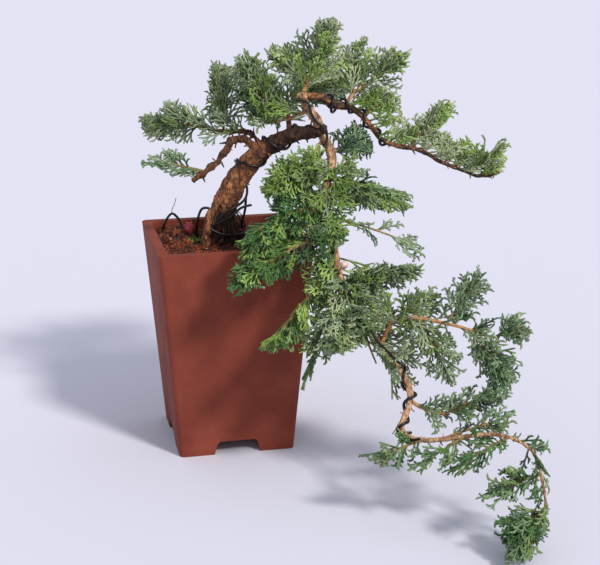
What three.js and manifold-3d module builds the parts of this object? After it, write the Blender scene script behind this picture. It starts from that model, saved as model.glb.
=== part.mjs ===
// A cascading juniper bonsai in a tall, square, tapering clay pot.
// Millimetres, +Z up, +X to the right along the pot's front. Every place below is measured from
// the middle of the pot's foot. The last lines move the origin under the middle of the whole plant.

import * as THREE from 'three';
import { mergeVertices } from 'three/addons/utils/BufferGeometryUtils.js';
import Module from 'manifold-3d';

const wasm = await Module();
wasm.setup();

// Pot and soil
const potHeight = 183;
const potTopSide = 130;
const potFootSide = 100;
const potWall = 8;
const potCorner = 4;
const footHeight = 12;
const footWall = 10;
const archWidth = 46;
const archTopWidth = 34;
const archShoulder = 3;
const floorThickness = 9;
const drainDiameter = 14;
const drainSides = 12;
const cornerSteps = 2;
const cutOverrun = 1;
const soilCrown = 175;
const soilEdge = 171.5;
const soilShoulder = 0.55;

// Clearances between the pieces, and between foliage and what it hangs over
const gap = 0.3;
const groundClearance = 3;
const potClearance = 3;
const weldDistance = 1e-4;
const scrapDistance = 2e-3;
const nearlyParallel = 1e-9;

// Wood and wire
const trunkSides = 10;
const limbSides = 6;
const boughSides = 5;
const thinBough = 2.9;
const stepLength = 10;
const knobShare = 1.12;
const knotSharpness = 2;
const curveTension = 0.5;
const firstAcross = [0.3, 1, 0.2];
const wireRadius = 1.2;
const wireSides = 4;
const stepsPerTurn = 7;
const wireClearance = 0.5;
const rootCount = 5;
const rootSides = 5;
const frontRootSides = 6;
const rootRadii = [3, 4.2, 4.2];
const rootSpread = 17;
const rootRise = 20;
const rootShares = [[0.32, 1], [0.68, 0.4], [1, -0.1]];
const firstRoot = 20;
const rootFan = 250;

// Foliage: a stem carries twigs, and each twig ends in a flat spray
const stemRadius = 1.7;
const stemTipRadius = 0.8;
const stemShare = 0.72;
const stemSteps = 3;
const twigSides = 3;
const twigRadius = 1;
const twigTipRadius = 0.6;
const twigShare = 0.3;
const shortestTwig = 2.5;
const firstTwig = 0.12;
const lastTwig = 0.95;
const widestTwig = 72;
const narrowestTwig = 40;
const twigLift = 0.15;
const twigAttempts = 12;
const sprayLength = 30;
const sprayTeeth = [
  { turn: -72, share: 0.62 }, { turn: -46, share: 0.86 }, { turn: -22, share: 0.74 },
  { turn: 2, share: 1 }, { turn: 27, share: 0.8 }, { turn: 52, share: 0.68 },
];
const sprayNotch = 12;
const sprayFoot = 2.4;
const sprayThickness = 2.4;
const sprayRidge = 4;
const spraySink = 2.4;
const sprayTwist = 1.6;
const toothRadius = 1.4;
const fewestTeeth = 3;
const twigVariation = 0.2;
const sprayVariation = 0.12;
const rollVariation = 0.5;
const fullReach = 20;
const smallestSpray = 0.55;
const overshoot = 8;
const spaceSamples = 12;
const widestShare = 0.6;
const spaceStretch = 0.75;
const firstSeed = 1000;
const mulberry = { step: 0x6d2b79f5, shifts: [15, 7, 14], mix: 61, span: 2 ** 32 };
const goldenAngle = THREE.MathUtils.degToRad(137.5);

const woodRoughness = 0.85;
const leafRoughness = 0.9;
const finishes = {
  clay: { color: '#74402f', roughness: 0.8 },
  soil: { color: '#6b3a22', roughness: 1 },
  trunk: { color: '#6d4a33', roughness: woodRoughness },
  shade: { color: '#3d2c22', roughness: woodRoughness },
  tan: { color: '#a47b57', roughness: woodRoughness },
  twig: { color: '#b07c4e', roughness: woodRoughness },
  wire: { color: '#1d1b1a', roughness: 0.45, metalness: 0.6 },
  bright: { color: '#66913f', roughness: leafRoughness },
  mid: { color: '#587a43', roughness: leafRoughness },
  grey: { color: '#6c8463', roughness: leafRoughness },
  dark: { color: '#395036', roughness: leafRoughness },
};

// The wood. A limb's centre line runs through its points, from its parent's centre line. Its radius
// goes from the first to the second of its radii, and a knot swells it at one of its points.
// The pieces name the spans of points that are separate lengths of wood.
const limbs = {
  trunk: {
    points: [[5, 6, 172], [-1, 5, 196], [4, -1, 218], [14, -7, 237], [26, -14, 254], [41, -21, 265],
      [57, -29, 273], [75, -37, 276]],
    radii: [12.2, 5.4],
    pieces: [['trunk', 0, 7]],
    sides: trunkSides, finish: 'trunk', ball: 6.4,
  },
  cut: {
    on: 'trunk',
    points: [[25, -14, 253], [19, -16, 266], [10, -17, 269], [2, -17, 266], [-4, -18, 254],
      [-16, -19, 244], [-30, -19, 235]],
    radii: [3.7, 2.8],
    pieces: [['arch_bough', 0, 3.6], ['cut_bough', 3.6, 6]],
    finish: 'trunk',
  },
  left: {
    on: 'trunk',
    points: [[26, -12, 256], [27, -7, 268], [16, -2, 272], [-1, 2, 271], [-15, 7, 274]],
    radii: [3.2, 1.5],
    pieces: [['left_bough', 0, 4]],
    finish: 'trunk',
  },
  top: {
    on: 'trunk',
    points: [[75, -37, 276], [72, -38, 286], [65, -35, 294], [61, -32, 304]],
    radii: [5, 3.8],
    pieces: [['top_limb', 0, 3]],
    finish: 'tan', ball: 5,
  },
  crest: {
    on: 'top',
    points: [[67, -36, 294], [58, -28, 288], [49, -20, 284], [38, -15, 280]],
    radii: [1.9, 1.4],
    pieces: [['crest_twig', 0, 3]],
    finish: 'tan',
  },
  crown: {
    on: 'top',
    points: [[61, -32, 304], [66, -31, 318], [74, -31, 328]],
    radii: [2.2, 1.5],
    pieces: [['crown_bough', 0, 2]],
    finish: 'twig',
  },
  right: {
    on: 'top',
    points: [[61, -32, 304], [76, -33, 304], [87, -33, 297], [101, -35, 295], [113, -40, 285],
      [124, -46, 270], [136, -51, 264], [155, -59, 261], [170, -66, 252], [186, -72, 246],
      [202, -78, 240], [217, -82, 244]],
    radii: [3.4, 1.3],
    knot: { point: 2, swell: 1.8 },
    pieces: [['right_bough', 0, 5], ['right_bough_outer', 5, 11]],
    finish: 'shade',
  },
  upper_right: {
    on: 'right',
    points: [[96, -34, 295], [108, -28, 307], [128, -26, 318]],
    radii: [2.1, 1.5],
    pieces: [['upper_right_bough', 0, 2]],
    finish: 'tan',
  },
  back: {
    on: 'trunk',
    points: [[52, -27, 271], [54, -8, 284], [59, 16, 290], [62, 32, 294]],
    radii: [2.8, 1.6],
    pieces: [['back_bough', 0, 3]],
    finish: 'shade',
  },
  cascade: {
    on: 'trunk',
    points: [[75, -37, 276], [82, -50, 257], [76, -60, 238], [68, -70, 214], [75, -86, 191],
      [76, -100, 172], [84, -129, 145], [103, -160, 120], [112, -180, 102], [111, -189, 90],
      [102, -199, 75], [108, -206, 68], [125, -218, 70], [154, -238, 80], [172, -249, 80],
      [187, -261, 69], [189, -281, 37]],
    radii: [4.4, 1.2],
    pieces: [['cascade_upper', 0, 4], ['cascade_middle', 4, 7], ['cascade_drop', 7, 11],
      ['cascade_tail', 11, 14], ['cascade_tip', 14, 16]],
    finish: 'tan',
  },
  far_right: {
    on: 'cascade',
    points: [[98, -152, 127], [107, -155, 146], [121, -162, 150], [139, -172, 148],
      [155, -180, 145], [178, -189, 138]],
    radii: [2.2, 1.2],
    pieces: [['far_right_bough', 0, 5]],
    finish: 'twig',
  },
  lower_right: {
    on: 'cascade',
    points: [[111.5, -188, 92], [122, -193, 85], [137, -198, 82]],
    radii: [1.7, 1.3],
    pieces: [['lower_right_bough', 0, 2]],
    finish: 'twig',
  },
};

// Short limbs that are one with the length of wood they grow on: a thin second strand beside the
// cascade's start, and the dry stub at the bend over its tail
const sideShoots = {
  cascade_upper: {
    points: [[78, -41, 270], [71, -47, 266], [71, -52, 261], [66, -57, 254]],
    radii: [2.2, 1.2],
  },
  cascade_drop: {
    points: [[106, -194, 82], [101, -196, 76], [95, -198, 69]],
    radii: [1.8, 0.7],
  },
};

// The exposed root that stands in front of the trunk like a leg
const frontRoot = {
  points: [[-3, -3, 220], [-12, -9, 207], [-18, -11, 191], [-18, -9, 172]],
  radii: [4, 3.2],
};

// The wires, each wound round a span of a limb's points
const wires = [
  { name: 'trunk_wire', on: 'trunk', from: 2.6, to: 6.1, turns: 4, phase: 335 },
  { name: 'crown_wire', on: 'right', from: 0.9, to: 5.7, turns: 4.5, phase: 220 },
  { name: 'cascade_wire', on: 'cascade', from: 7.4, to: 10.8, turns: 3, phase: 55 },
];

// The foliage. Each mass grows from a step along a limb to its tip, arched by its bow, and keeps
// within its reach of the stem. A row holds the mass's name, limb, step, tip, reach, bow, number of
// twigs and tint.
const masses = [
  ['far_left_pad', 'left', 4, [-62, 24, 280], 18, 4, 6, 'grey'],
  ['left_pad_low', 'left', 2.9, [0, 23, 314], 20, 4, 5, 'grey'],
  ['left_pad_high', 'crest', 3, [20, -18, 323], 20, 6, 6, 'mid'],
  ['cut_bough_spray', 'cut', 5.2, [-68, -20, 254], 9, 2, 4, 'grey'],
  ['crown_left', 'crown', 0.8, [50, -9, 336], 15, 3, 5, 'mid'],
  ['crown_top', 'crown', 2, [80, -32, 358], 16, 2, 5, 'grey'],
  ['upper_right_rear', 'upper_right', 0.8, [110, -16, 346], 14, 4, 4, 'mid'],
  ['upper_right_tip', 'upper_right', 2, [143, -26, 331], 12, 2, 3, 'mid'],
  ['right_pad_inner', 'right', 3.9, [138, -34, 306], 17, 3, 5, 'bright'],
  ['right_pad_middle', 'right', 6.6, [177, -57, 298], 18, 4, 5, 'bright'],
  ['right_pad_tip', 'right', 9.5, [219, -89, 271], 17, 4, 7, 'bright'],
  ['shade_tuft', 'cascade', 0.9, [124, -22, 264], 15, 3, 5, 'dark'],
  ['front_pad_high', 'cascade', 1.5, [29, -75, 241], 20, 6, 7, 'bright'],
  ['front_pad_middle', 'cascade', 2.7, [-1, -106, 207], 20, 6, 7, 'bright'],
  ['front_pad_low', 'cascade', 3.6, [-9, -113, 170], 19, 8, 7, 'bright'],
  ['front_droop', 'cascade', 4.9, [12, -128, 121], 17, 8, 6, 'bright'],
  ['right_mid_pad', 'cascade', 1.9, [138, -63, 221], 19, 6, 5, 'mid'],
  ['sparse_twig', 'cascade', 3.1, [142, -84, 187], 15, 6, 3, 'dark'],
  ['right_low_pad', 'cascade', 5.4, [125, -120, 180], 19, 4, 6, 'grey'],
  ['centre_pad', 'cascade', 5.8, [60, -156, 126], 16, 5, 5, 'grey'],
  ['limb_pad', 'far_right', 1.3, [134, -150, 160], 14, 2, 2, 'mid'],
  ['hanging_spray', 'cascade', 5.2, [36, -139, 80], 11, 10, 5, 'mid'],
  ['far_right_high', 'far_right', 3.3, [167, -170, 176], 15, 2, 4, 'dark'],
  ['far_right_tip', 'far_right', 5, [203, -198, 150], 15, 2, 5, 'dark'],
  ['far_right_low', 'far_right', 4.2, [184, -205, 108], 17, 4, 5, 'dark'],
  ['far_right_inner', 'far_right', 2.2, [142, -183, 112], 15, 4, 3, 'grey'],
  ['lower_right_spray', 'lower_right', 2, [180, -213, 106], 11, 2, 4, 'dark'],
  ['tail_top_spray', 'cascade', 12.1, [187, -230, 89], 9, 4, 4, 'dark'],
  ['tail_left_spray', 'cascade', 11.5, [73, -219, 57], 9, 3, 4, 'mid'],
  ['tail_under_inner', 'cascade', 12.6, [104, -228, 52], 8, 2, 3, 'mid'],
  ['tail_under_outer', 'cascade', 13.9, [129, -238, 52], 9, 3, 4, 'mid'],
  ['tip_mass', 'cascade', 16, [157, -286, 10], 20, 3, 6, 'mid'],
  ['tip_left_spray', 'cascade', 15.4, [146, -274, 46], 11, 3, 3, 'mid'],
  ['sagging_twig', 'cascade', 6.1, [97, -176, 98], 7, -6, 3, 'grey'],
  ['back_pad_left', 'back', 2, [36, 62, 294], 18, 5, 5, 'mid'],
  ['back_pad_right', 'back', 3, [112, 52, 300], 18, 5, 6, 'mid'],
  ['cascade_back', 'cascade', 2.4, [126, -14, 212], 15, 5, 4, 'dark'],
].map(([name, on, step, tip, reach, bow, twigs, tint]) => (
  { name, on, step, tip, reach, bow, twigs, tint }));

// Random numbers that are the same on every run, by the mulberry32 rule
function seeded(seed) {
  const [first, second, third] = mulberry.shifts;
  let state = seed >>> 0;
  return () => {
    state = (state + mulberry.step) >>> 0;
    let mixed = Math.imul(state ^ (state >>> first), state | 1);
    mixed ^= mixed + Math.imul(mixed ^ (mixed >>> second), mixed | mulberry.mix);
    return ((mixed ^ (mixed >>> third)) >>> 0) / mulberry.span;
  };
}

// Solids and meshes
function solid(geometry) {
  geometry.deleteAttribute('normal');
  geometry.deleteAttribute('uv');
  const merged = mergeVertices(geometry, weldDistance);
  const vertProperties = new Float32Array(merged.getAttribute('position').array);
  const triVerts = new Uint32Array(merged.index.array);
  return new wasm.Manifold(new wasm.Mesh({ numProp: 3, vertProperties, triVerts }));
}

// The largest shell of a solid, which drops its loose scraps and fills its sealed hollows
function largestShell(body) {
  const { vertProperties, triVerts } = body.getMesh();
  const root = Array.from({ length: vertProperties.length / 3 }, (_, i) => i);
  const find = (i) => {
    while (root[i] !== i) i = root[i] = root[root[i]];
    return i;
  };
  for (let i = 0; i < triVerts.length; i += 3) {
    root[find(triVerts[i])] = find(triVerts[i + 1]);
    root[find(triVerts[i + 1])] = find(triVerts[i + 2]);
  }
  const corner = (i) => new THREE.Vector3().fromArray(vertProperties, triVerts[i] * 3);
  const shells = new Map();
  for (let i = 0; i < triVerts.length; i += 3) {
    const key = find(triVerts[i]);
    if (!shells.has(key)) shells.set(key, { volume: 0, triangles: [] });
    const shell = shells.get(key);
    shell.volume += corner(i).dot(corner(i + 1).cross(corner(i + 2)));
    shell.triangles.push(triVerts[i], triVerts[i + 1], triVerts[i + 2]);
  }
  const best = [...shells.values()].reduce((a, b) => (b.volume > a.volume ? b : a));
  const geometry = new THREE.BufferGeometry();
  geometry.setAttribute('position', new THREE.BufferAttribute(vertProperties, 3));
  geometry.setIndex(best.triangles);
  return geometry;
}

const plant = new THREE.Group();

function addMesh(name, body, finish) {
  const geometry = mergeVertices(largestShell(body).toNonIndexed(), scrapDistance);
  geometry.computeVertexNormals();
  const mesh = new THREE.Mesh(geometry, new THREE.MeshStandardMaterial(finishes[finish]));
  mesh.name = name;
  plant.add(mesh);
}

// Curves and swept limbs
const vector = (place) => new THREE.Vector3(...place);

function curveThrough(points) {
  return new THREE.CatmullRomCurve3(points.map(vector), false, 'catmullrom', curveTension);
}

// The directions across a path at each of its places, turned as little as possible on the way
function framesAlong(places, headings = []) {
  const last = places.length - 1;
  const frames = [];
  let across = vector(firstAcross);
  for (let i = 0; i <= last; i += 1) {
    const before = places[Math.max(i - 1, 0)];
    const after = places[Math.min(i + 1, last)];
    const along = headings[i] ?? new THREE.Vector3().subVectors(after, before).normalize();
    across = across.clone().addScaledVector(along, -across.dot(along)).normalize();
    frames.push({ along, across, up: new THREE.Vector3().crossVectors(along, across) });
  }
  return frames;
}

// A bar of that many sides along a path, with its own radius at every place
function sweep({ places, radii, headings }, sides) {
  const last = places.length - 1;
  const section = new THREE.Shape();
  for (let i = 0; i < sides; i += 1) {
    const angle = (2 * Math.PI * i) / sides;
    if (i === 0) section.moveTo(Math.cos(angle), Math.sin(angle));
    else section.lineTo(Math.cos(angle), Math.sin(angle));
  }
  const bar = new THREE.ExtrudeGeometry(section, { depth: last, steps: last, bevelEnabled: false });
  const frames = framesAlong(places, headings);
  const position = bar.getAttribute('position');
  for (let i = 0; i < position.count; i += 1) {
    const ring = Math.round(position.getZ(i));
    const { across, up } = frames[ring];
    const place = places[ring].clone();
    place.addScaledVector(across, position.getX(i) * radii[ring]);
    place.addScaledVector(up, position.getY(i) * radii[ring]);
    position.setXYZ(i, place.x, place.y, place.z);
  }
  return solid(bar);
}

function ballAt(place, radius) {
  const ball = new THREE.IcosahedronGeometry(radius * knobShare, 0);
  ball.translate(place.x, place.y, place.z);
  return solid(ball);
}

function sidesOf(limb) {
  return limb.sides ?? (limb.radii[0] > thinBough ? limbSides : boughSides);
}

// A limb's radius at a step of its points
function radiusAt(limb, step) {
  const share = step / (limb.points.length - 1);
  const plain = THREE.MathUtils.lerp(limb.radii[0], limb.radii[1], share);
  if (!limb.knot) return plain;
  const away = step - limb.knot.point;
  return plain + limb.knot.swell * Math.exp(-knotSharpness * away * away);
}

function placeAt(limb, step) {
  return curveThrough(limb.points).getPoint(step / (limb.points.length - 1));
}

// The path along a span of a limb, grown by a margin all round and past both ends
function spanOf(limb, from, to, margin = 0) {
  const curve = curveThrough(limb.points);
  const last = limb.points.length - 1;
  const length = curve.getLength() * ((to - from) / last);
  const steps = Math.max(2, Math.round(length / stepLength));
  const path = { places: [], radii: [], headings: [] };
  for (let i = 0; i <= steps; i += 1) {
    const step = THREE.MathUtils.lerp(from, to, i / steps);
    path.places.push(curve.getPoint(step / last));
    path.headings.push(curve.getTangent(step / last));
    path.radii.push(radiusAt(limb, step) + margin);
  }
  path.places[0].addScaledVector(path.headings[0], -margin);
  path.places[steps].addScaledVector(path.headings[steps], margin);
  return path;
}

// What the later pieces keep clear of, as round-ended bars
const taken = [];

function take({ places, radii }, owner) {
  for (let i = 0; i + 1 < places.length; i += 1) {
    taken.push({ from: places[i], to: places[i + 1], radius: Math.max(radii[i], radii[i + 1]), owner });
  }
}

// The shortest way between two straight lines that end at a, b and c, d
function distanceBetween(a, b, c, d) {
  const first = new THREE.Vector3().subVectors(b, a);
  const second = new THREE.Vector3().subVectors(d, c);
  const between = new THREE.Vector3().subVectors(a, c);
  const firstSquare = first.lengthSq();
  const secondSquare = second.lengthSq();
  const mixed = first.dot(second);
  const firstPull = first.dot(between);
  const secondPull = second.dot(between);
  const spread = firstSquare * secondSquare - mixed * mixed;
  const clamp = THREE.MathUtils.clamp;
  const crossing = (mixed * secondPull - firstPull * secondSquare) / spread;
  let s = spread > nearlyParallel ? clamp(crossing, 0, 1) : 0;
  const t = clamp((mixed * s + secondPull) / secondSquare, 0, 1);
  s = clamp((mixed * t - firstPull) / firstSquare, 0, 1);
  return between.addScaledVector(first, s).addScaledVector(second, -t).length();
}

function isClear(from, to, radius, owners) {
  return taken.every((bar) => owners.includes(bar.owner)
    || distanceBetween(from, to, bar.from, bar.to) > radius + bar.radius + gap);
}

// Half the pot's side at a height
function potHalf(height) {
  return THREE.MathUtils.lerp(potFootSide, potTopSide, height / potHeight) / 2;
}

function isOutsidePot(place, radius) {
  const margin = radius + potClearance;
  if (place.z - margin < groundClearance - potClearance) return false;
  if (place.z - margin > potHeight) return true;
  return Math.max(Math.abs(place.x), Math.abs(place.y)) - margin > potHalf(place.z);
}

// A square block with rounded corners, through levels that each have a height and half a side
function squareBlock(levels, corner) {
  const last = levels.length - 1;
  const share = corner / levels[last].half;
  const square = new THREE.Shape();
  for (let i = 0; i < 4; i += 1) {
    const turn = (Math.PI / 2) * i;
    const centre = new THREE.Vector2(1 - share, 1 - share).rotateAround(new THREE.Vector2(), turn);
    square.absarc(centre.x, centre.y, share, turn, turn + Math.PI / 2);
  }
  const options = { depth: last, steps: last, bevelEnabled: false, curveSegments: cornerSteps };
  const block = new THREE.ExtrudeGeometry(square, options);
  const position = block.getAttribute('position');
  for (let i = 0; i < position.count; i += 1) {
    const level = levels[Math.round(position.getZ(i))];
    position.setXYZ(i, position.getX(i) * level.half, position.getY(i) * level.half, level.height);
  }
  return solid(block);
}

// The cut between two feet of the pot, right through from side to side
function archCut(turn) {
  const arch = new THREE.Shape();
  arch.moveTo(-archWidth / 2, -cutOverrun);
  arch.lineTo(archWidth / 2, -cutOverrun);
  arch.lineTo(archTopWidth / 2 + archShoulder, footHeight - archShoulder);
  arch.lineTo(archTopWidth / 2, footHeight);
  arch.lineTo(-archTopWidth / 2, footHeight);
  arch.lineTo(-archTopWidth / 2 - archShoulder, footHeight - archShoulder);
  const cut = new THREE.ExtrudeGeometry(arch, { depth: potTopSide, bevelEnabled: false });
  cut.translate(0, 0, -potTopSide / 2);
  cut.rotateX(Math.PI / 2);
  cut.rotateZ(turn);
  return solid(cut);
}

const floorLevel = footHeight + floorThickness;

// A level of the pot's taper, set in from its outside
function levelAt(height, inset) {
  return { height, half: potHalf(height) - inset };
}

function buildPot() {
  const mouth = potHeight + cutOverrun;
  const outside = squareBlock([levelAt(0, 0), levelAt(potHeight, 0)], potCorner);
  const inside = squareBlock([levelAt(floorLevel, potWall), levelAt(mouth, potWall)], potCorner);
  const recess = squareBlock([levelAt(-cutOverrun, footWall), levelAt(footHeight, footWall)], potCorner);
  const drainRadius = drainDiameter / 2;
  const drain = new THREE.CylinderGeometry(drainRadius, drainRadius, floorThickness * 2, drainSides);
  drain.rotateX(Math.PI / 2);
  drain.translate(0, 0, footHeight + floorThickness / 2);
  return outside.subtract(inside).subtract(recess).subtract(solid(drain))
    .subtract(archCut(0)).subtract(archCut(Math.PI / 2));
}

// The soil fills the pot from its floor, level round the trunk and lower along the walls
function buildSoil() {
  const inset = potWall + gap;
  const crown = levelAt(soilCrown, inset);
  crown.half *= soilShoulder;
  return squareBlock([levelAt(floorLevel + gap, inset), levelAt(soilEdge, inset), crown], potCorner - gap);
}

// The trunk, with a flare of roots and the root that stands in front, all cut flat at the soil
function buildTrunk() {
  const path = spanOf(limbs.trunk, 0, limbs.trunk.points.length - 1);
  take(path, 'trunk');
  const fork = path.places[path.places.length - 1];
  let wood = sweep(path, trunkSides).add(ballAt(fork, limbs.trunk.ball));
  const foot = path.places[0];
  for (let i = 0; i < rootCount; i += 1) {
    const angle = THREE.MathUtils.degToRad(firstRoot + (i * rootFan) / (rootCount - 1));
    const outward = new THREE.Vector3(Math.cos(angle), Math.sin(angle), 0);
    const places = rootShares.map(([out, up]) => foot.clone()
      .addScaledVector(outward, rootSpread * out)
      .setZ(soilCrown + rootRise * up));
    wood = wood.add(sweep({ places, radii: rootRadii }, rootSides));
  }
  const front = spanOf(frontRoot, 0, frontRoot.points.length - 1);
  take(front, 'trunk');
  wood = wood.add(sweep(front, frontRootSides));
  const ground = new THREE.BoxGeometry(potTopSide, potTopSide, potHeight);
  ground.translate(0, 0, soilCrown + gap - potHeight / 2);
  return wood.subtract(solid(ground));
}

// What a child limb or a stem is cut away from, so that it meets the wood just clear of it
const clearWood = {};

function rememberWood(key) {
  const limb = limbs[key];
  const spans = limb.pieces.map(([, from, to]) => sweep(spanOf(limb, from, to, gap), sidesOf(limb)));
  const wood = spans.reduce((a, b) => a.add(b));
  const end = placeAt(limb, limb.points.length - 1);
  clearWood[key] = limb.ball ? wood.add(ballAt(end, limb.ball + gap)) : wood;
}

function buildLimb(key) {
  const limb = limbs[key];
  for (const [name, from, to] of limb.pieces) {
    const path = spanOf(limb, from, to);
    if (from > 0) path.places[0].addScaledVector(path.headings[0], gap);
    let wood = sweep(path, sidesOf(limb));
    if (limb.ball) wood = wood.add(ballAt(path.places[path.places.length - 1], limb.ball));
    const shoot = sideShoots[name];
    if (shoot) {
      const side = spanOf(shoot, 0, shoot.points.length - 1);
      take(side, key);
      wood = wood.add(sweep(side, rootSides));
    }
    if (from === 0) wood = wood.subtract(clearWood[limb.on]);
    take(path, key);
    addMesh(name, wood, limb.finish);
  }
}

function buildWire({ name, on, from, to, turns, phase }) {
  const limb = limbs[on];
  const steps = Math.round(turns * stepsPerTurn);
  const stepAt = (i) => THREE.MathUtils.lerp(from, to, i / steps);
  const centres = Array.from({ length: steps + 1 }, (_, i) => placeAt(limb, stepAt(i)));
  const frames = framesAlong(centres);
  const places = centres.map((centre, i) => {
    const angle = THREE.MathUtils.degToRad(phase) + (2 * Math.PI * turns * i) / steps;
    const clearRadius = radiusAt(limb, stepAt(i)) + wireRadius + wireClearance;
    const away = clearRadius / Math.cos(Math.PI / stepsPerTurn);
    return centre.clone()
      .addScaledVector(frames[i].across, Math.cos(angle) * away)
      .addScaledVector(frames[i].up, Math.sin(angle) * away);
  });
  const path = { places, radii: places.map(() => wireRadius) };
  take(path, name);
  addMesh(name, sweep(path, wireSides), 'wire');
}

// The outline of a flat spray with pointed teeth, which opens from its foot along +Y
function sprayOutline(teeth) {
  const cornerAt = (turn, length) => new THREE.Vector2(0, length)
    .rotateAround(new THREE.Vector2(), -THREE.MathUtils.degToRad(turn));
  const corners = [new THREE.Vector2(-sprayFoot / 2, 0)];
  teeth.forEach(({ turn, share }, i) => {
    if (i > 0) corners.push(cornerAt((turn + teeth[i - 1].turn) / 2, sprayNotch));
    corners.push(cornerAt(turn, sprayLength * share));
  });
  return [...corners, new THREE.Vector2(sprayFoot / 2, 0)].reverse();
}

// The directions across a spray's teeth, along its middle tooth and through it
function sprayWays(heading, flat) {
  const across = new THREE.Vector3().crossVectors(heading, flat).normalize();
  return [across, heading, new THREE.Vector3().crossVectors(across, heading)];
}

// A spray's blade: its outline is the edge, and a ridge on each face makes it thick near its foot
function sprayAt(foot, ways, size, teeth) {
  const outline = sprayOutline(teeth);
  const blade = new THREE.SphereGeometry(1, outline.length, 2);
  const position = blade.getAttribute('position');
  for (let i = 0; i < position.count; i += 1) {
    const face = Math.round(position.getY(i));
    const corner = outline[(i % (outline.length + 1)) % outline.length];
    const { x, y } = face === 0 ? corner : { x: 0, y: sprayRidge };
    position.setXYZ(i, x * size, (y - spraySink) * size, (face * sprayThickness) / 2);
  }
  blade.applyMatrix4(new THREE.Matrix4().makeBasis(...ways).setPosition(foot));
  return solid(blade);
}

function toothTip(foot, [across, along], size, { turn, share }) {
  const angle = THREE.MathUtils.degToRad(turn);
  const length = sprayLength * share * size;
  return foot.clone()
    .addScaledVector(across, Math.sin(angle) * length)
    .addScaledVector(along, Math.cos(angle) * length);
}

// Whether a place keeps within a mass's space, which is round at the middle and narrows to its ends
function keepsSpace(mass, stem, place) {
  for (let i = 0; i <= spaceSamples; i += 1) {
    const share = i / spaceSamples;
    const away = (share - widestShare) / spaceStretch;
    const room = mass.reach * Math.sqrt(Math.max(0, 1 - away * away)) + overshoot;
    if (stem.getPoint(share).distanceTo(place) < room) return true;
  }
  return false;
}

function stemOf(mass) {
  const start = placeAt(limbs[mass.on], mass.step);
  const tip = vector(mass.tip);
  const bend = start.clone().lerp(tip, 0.5);
  bend.z += mass.bow;
  return new THREE.QuadraticBezierCurve3(start, bend, tip);
}

function buildMass(mass, index) {
  const random = seeded(firstSeed + index);
  const stem = stemOf(mass);
  const places = stem.getPoints(stemSteps);
  const base = Math.min(stemRadius, radiusAt(limbs[mass.on], mass.step) * stemShare);
  const radii = places.map((_, i) => THREE.MathUtils.lerp(base, stemTipRadius, i / stemSteps));
  let foliage = sweep({ places, radii }, twigSides).subtract(clearWood[mass.on]);
  take({ places, radii }, mass.name);
  const size = THREE.MathUtils.clamp(mass.reach / fullReach, smallestSpray, 1);
  const fits = (from, to, radius, owners) => keepsSpace(mass, stem, to)
    && isOutsidePot(to, radius) && isClear(from, to, radius, owners);

  const varied = (share) => THREE.MathUtils.lerp(1 - share, 1 + share, random());

  // A spray at the end of a twig, without the teeth that would leave the space or touch something
  const planSpray = (foot, heading, flat, owner) => {
    const ways = sprayWays(heading, flat);
    const own = size * varied(sprayVariation);
    const tipOf = (tooth) => toothTip(foot, ways, own, tooth);
    const owners = [mass.name, owner];
    const teeth = sprayTeeth.filter((tooth) => fits(foot, tipOf(tooth), toothRadius, owners));
    const add = () => {
      foliage = foliage.add(sprayAt(foot, ways, own, teeth));
      const radii = [toothRadius, toothRadius];
      for (const tooth of teeth) take({ places: [foot, tipOf(tooth)], radii }, owner);
    };
    return { count: teeth.length, add };
  };

  // A twig that leaves the stem at a share of its length, turned round it by its roll
  const planTwig = (share, roll, owner) => {
    const foot = stem.getPoint(share);
    const { across, up, along } = framesAlong([foot], [stem.getTangent(share)])[0];
    const side = across.clone().multiplyScalar(Math.cos(roll)).addScaledVector(up, Math.sin(roll));
    const open = THREE.MathUtils.degToRad(THREE.MathUtils.lerp(widestTwig, narrowestTwig, share));
    const heading = along.clone().multiplyScalar(Math.cos(open)).addScaledVector(side, Math.sin(open));
    heading.z += twigLift;
    heading.normalize();
    const length = Math.max(shortestTwig, mass.reach * twigShare * varied(twigVariation));
    const end = foot.clone().addScaledVector(heading, length);
    const flat = new THREE.Vector3().crossVectors(heading, along).normalize();
    flat.applyAxisAngle(heading, (random() - 0.5) * sprayTwist + Math.PI * Math.round(random()));
    const spray = planSpray(end, heading, flat, owner);
    if (!fits(foot, end, twigRadius, [mass.name])) return { count: 0 };
    const add = () => {
      const twig = { places: [foot, end], radii: [twigRadius, twigTipRadius] };
      foliage = foliage.add(sweep(twig, twigSides));
      take(twig, owner);
      spray.add();
    };
    return { count: spray.count, add };
  };

  for (let i = 0; i < mass.twigs; i += 1) {
    const share = THREE.MathUtils.lerp(firstTwig, lastTwig, (i + 0.5) / mass.twigs);
    const owner = `${mass.name} ${i}`;
    const plans = Array.from({ length: twigAttempts }, (_, attempt) => {
      const roll = goldenAngle * i + (attempt * 2 * Math.PI) / twigAttempts + random() * rollVariation;
      return planTwig(share, roll, owner);
    });
    const best = plans.reduce((a, b) => (b.count > a.count ? b : a));
    if (best.count >= fewestTeeth) best.add();
  }
  const { along, up } = framesAlong(places)[stemSteps];
  const last = planSpray(places[stemSteps], along, up, `${mass.name} tip`);
  if (last.count >= fewestTeeth) last.add();
  addMesh(mass.name, foliage, mass.tint);
}

addMesh('pot', buildPot(), 'clay');
addMesh('soil', buildSoil(), 'soil');
addMesh('trunk', buildTrunk(), 'trunk');
rememberWood('trunk');
for (const key of Object.keys(limbs).filter((name) => name !== 'trunk')) {
  rememberWood(key);
  buildLimb(key);
}
wires.forEach(buildWire);
masses.forEach(buildMass);

// The origin goes to the table's level, under the middle of the plant and pot together
const box = new THREE.Box3().setFromObject(plant);
const middle = box.getCenter(new THREE.Vector3());
plant.position.set(-middle.x, -middle.y, -box.min.z);

export default plant;
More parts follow.
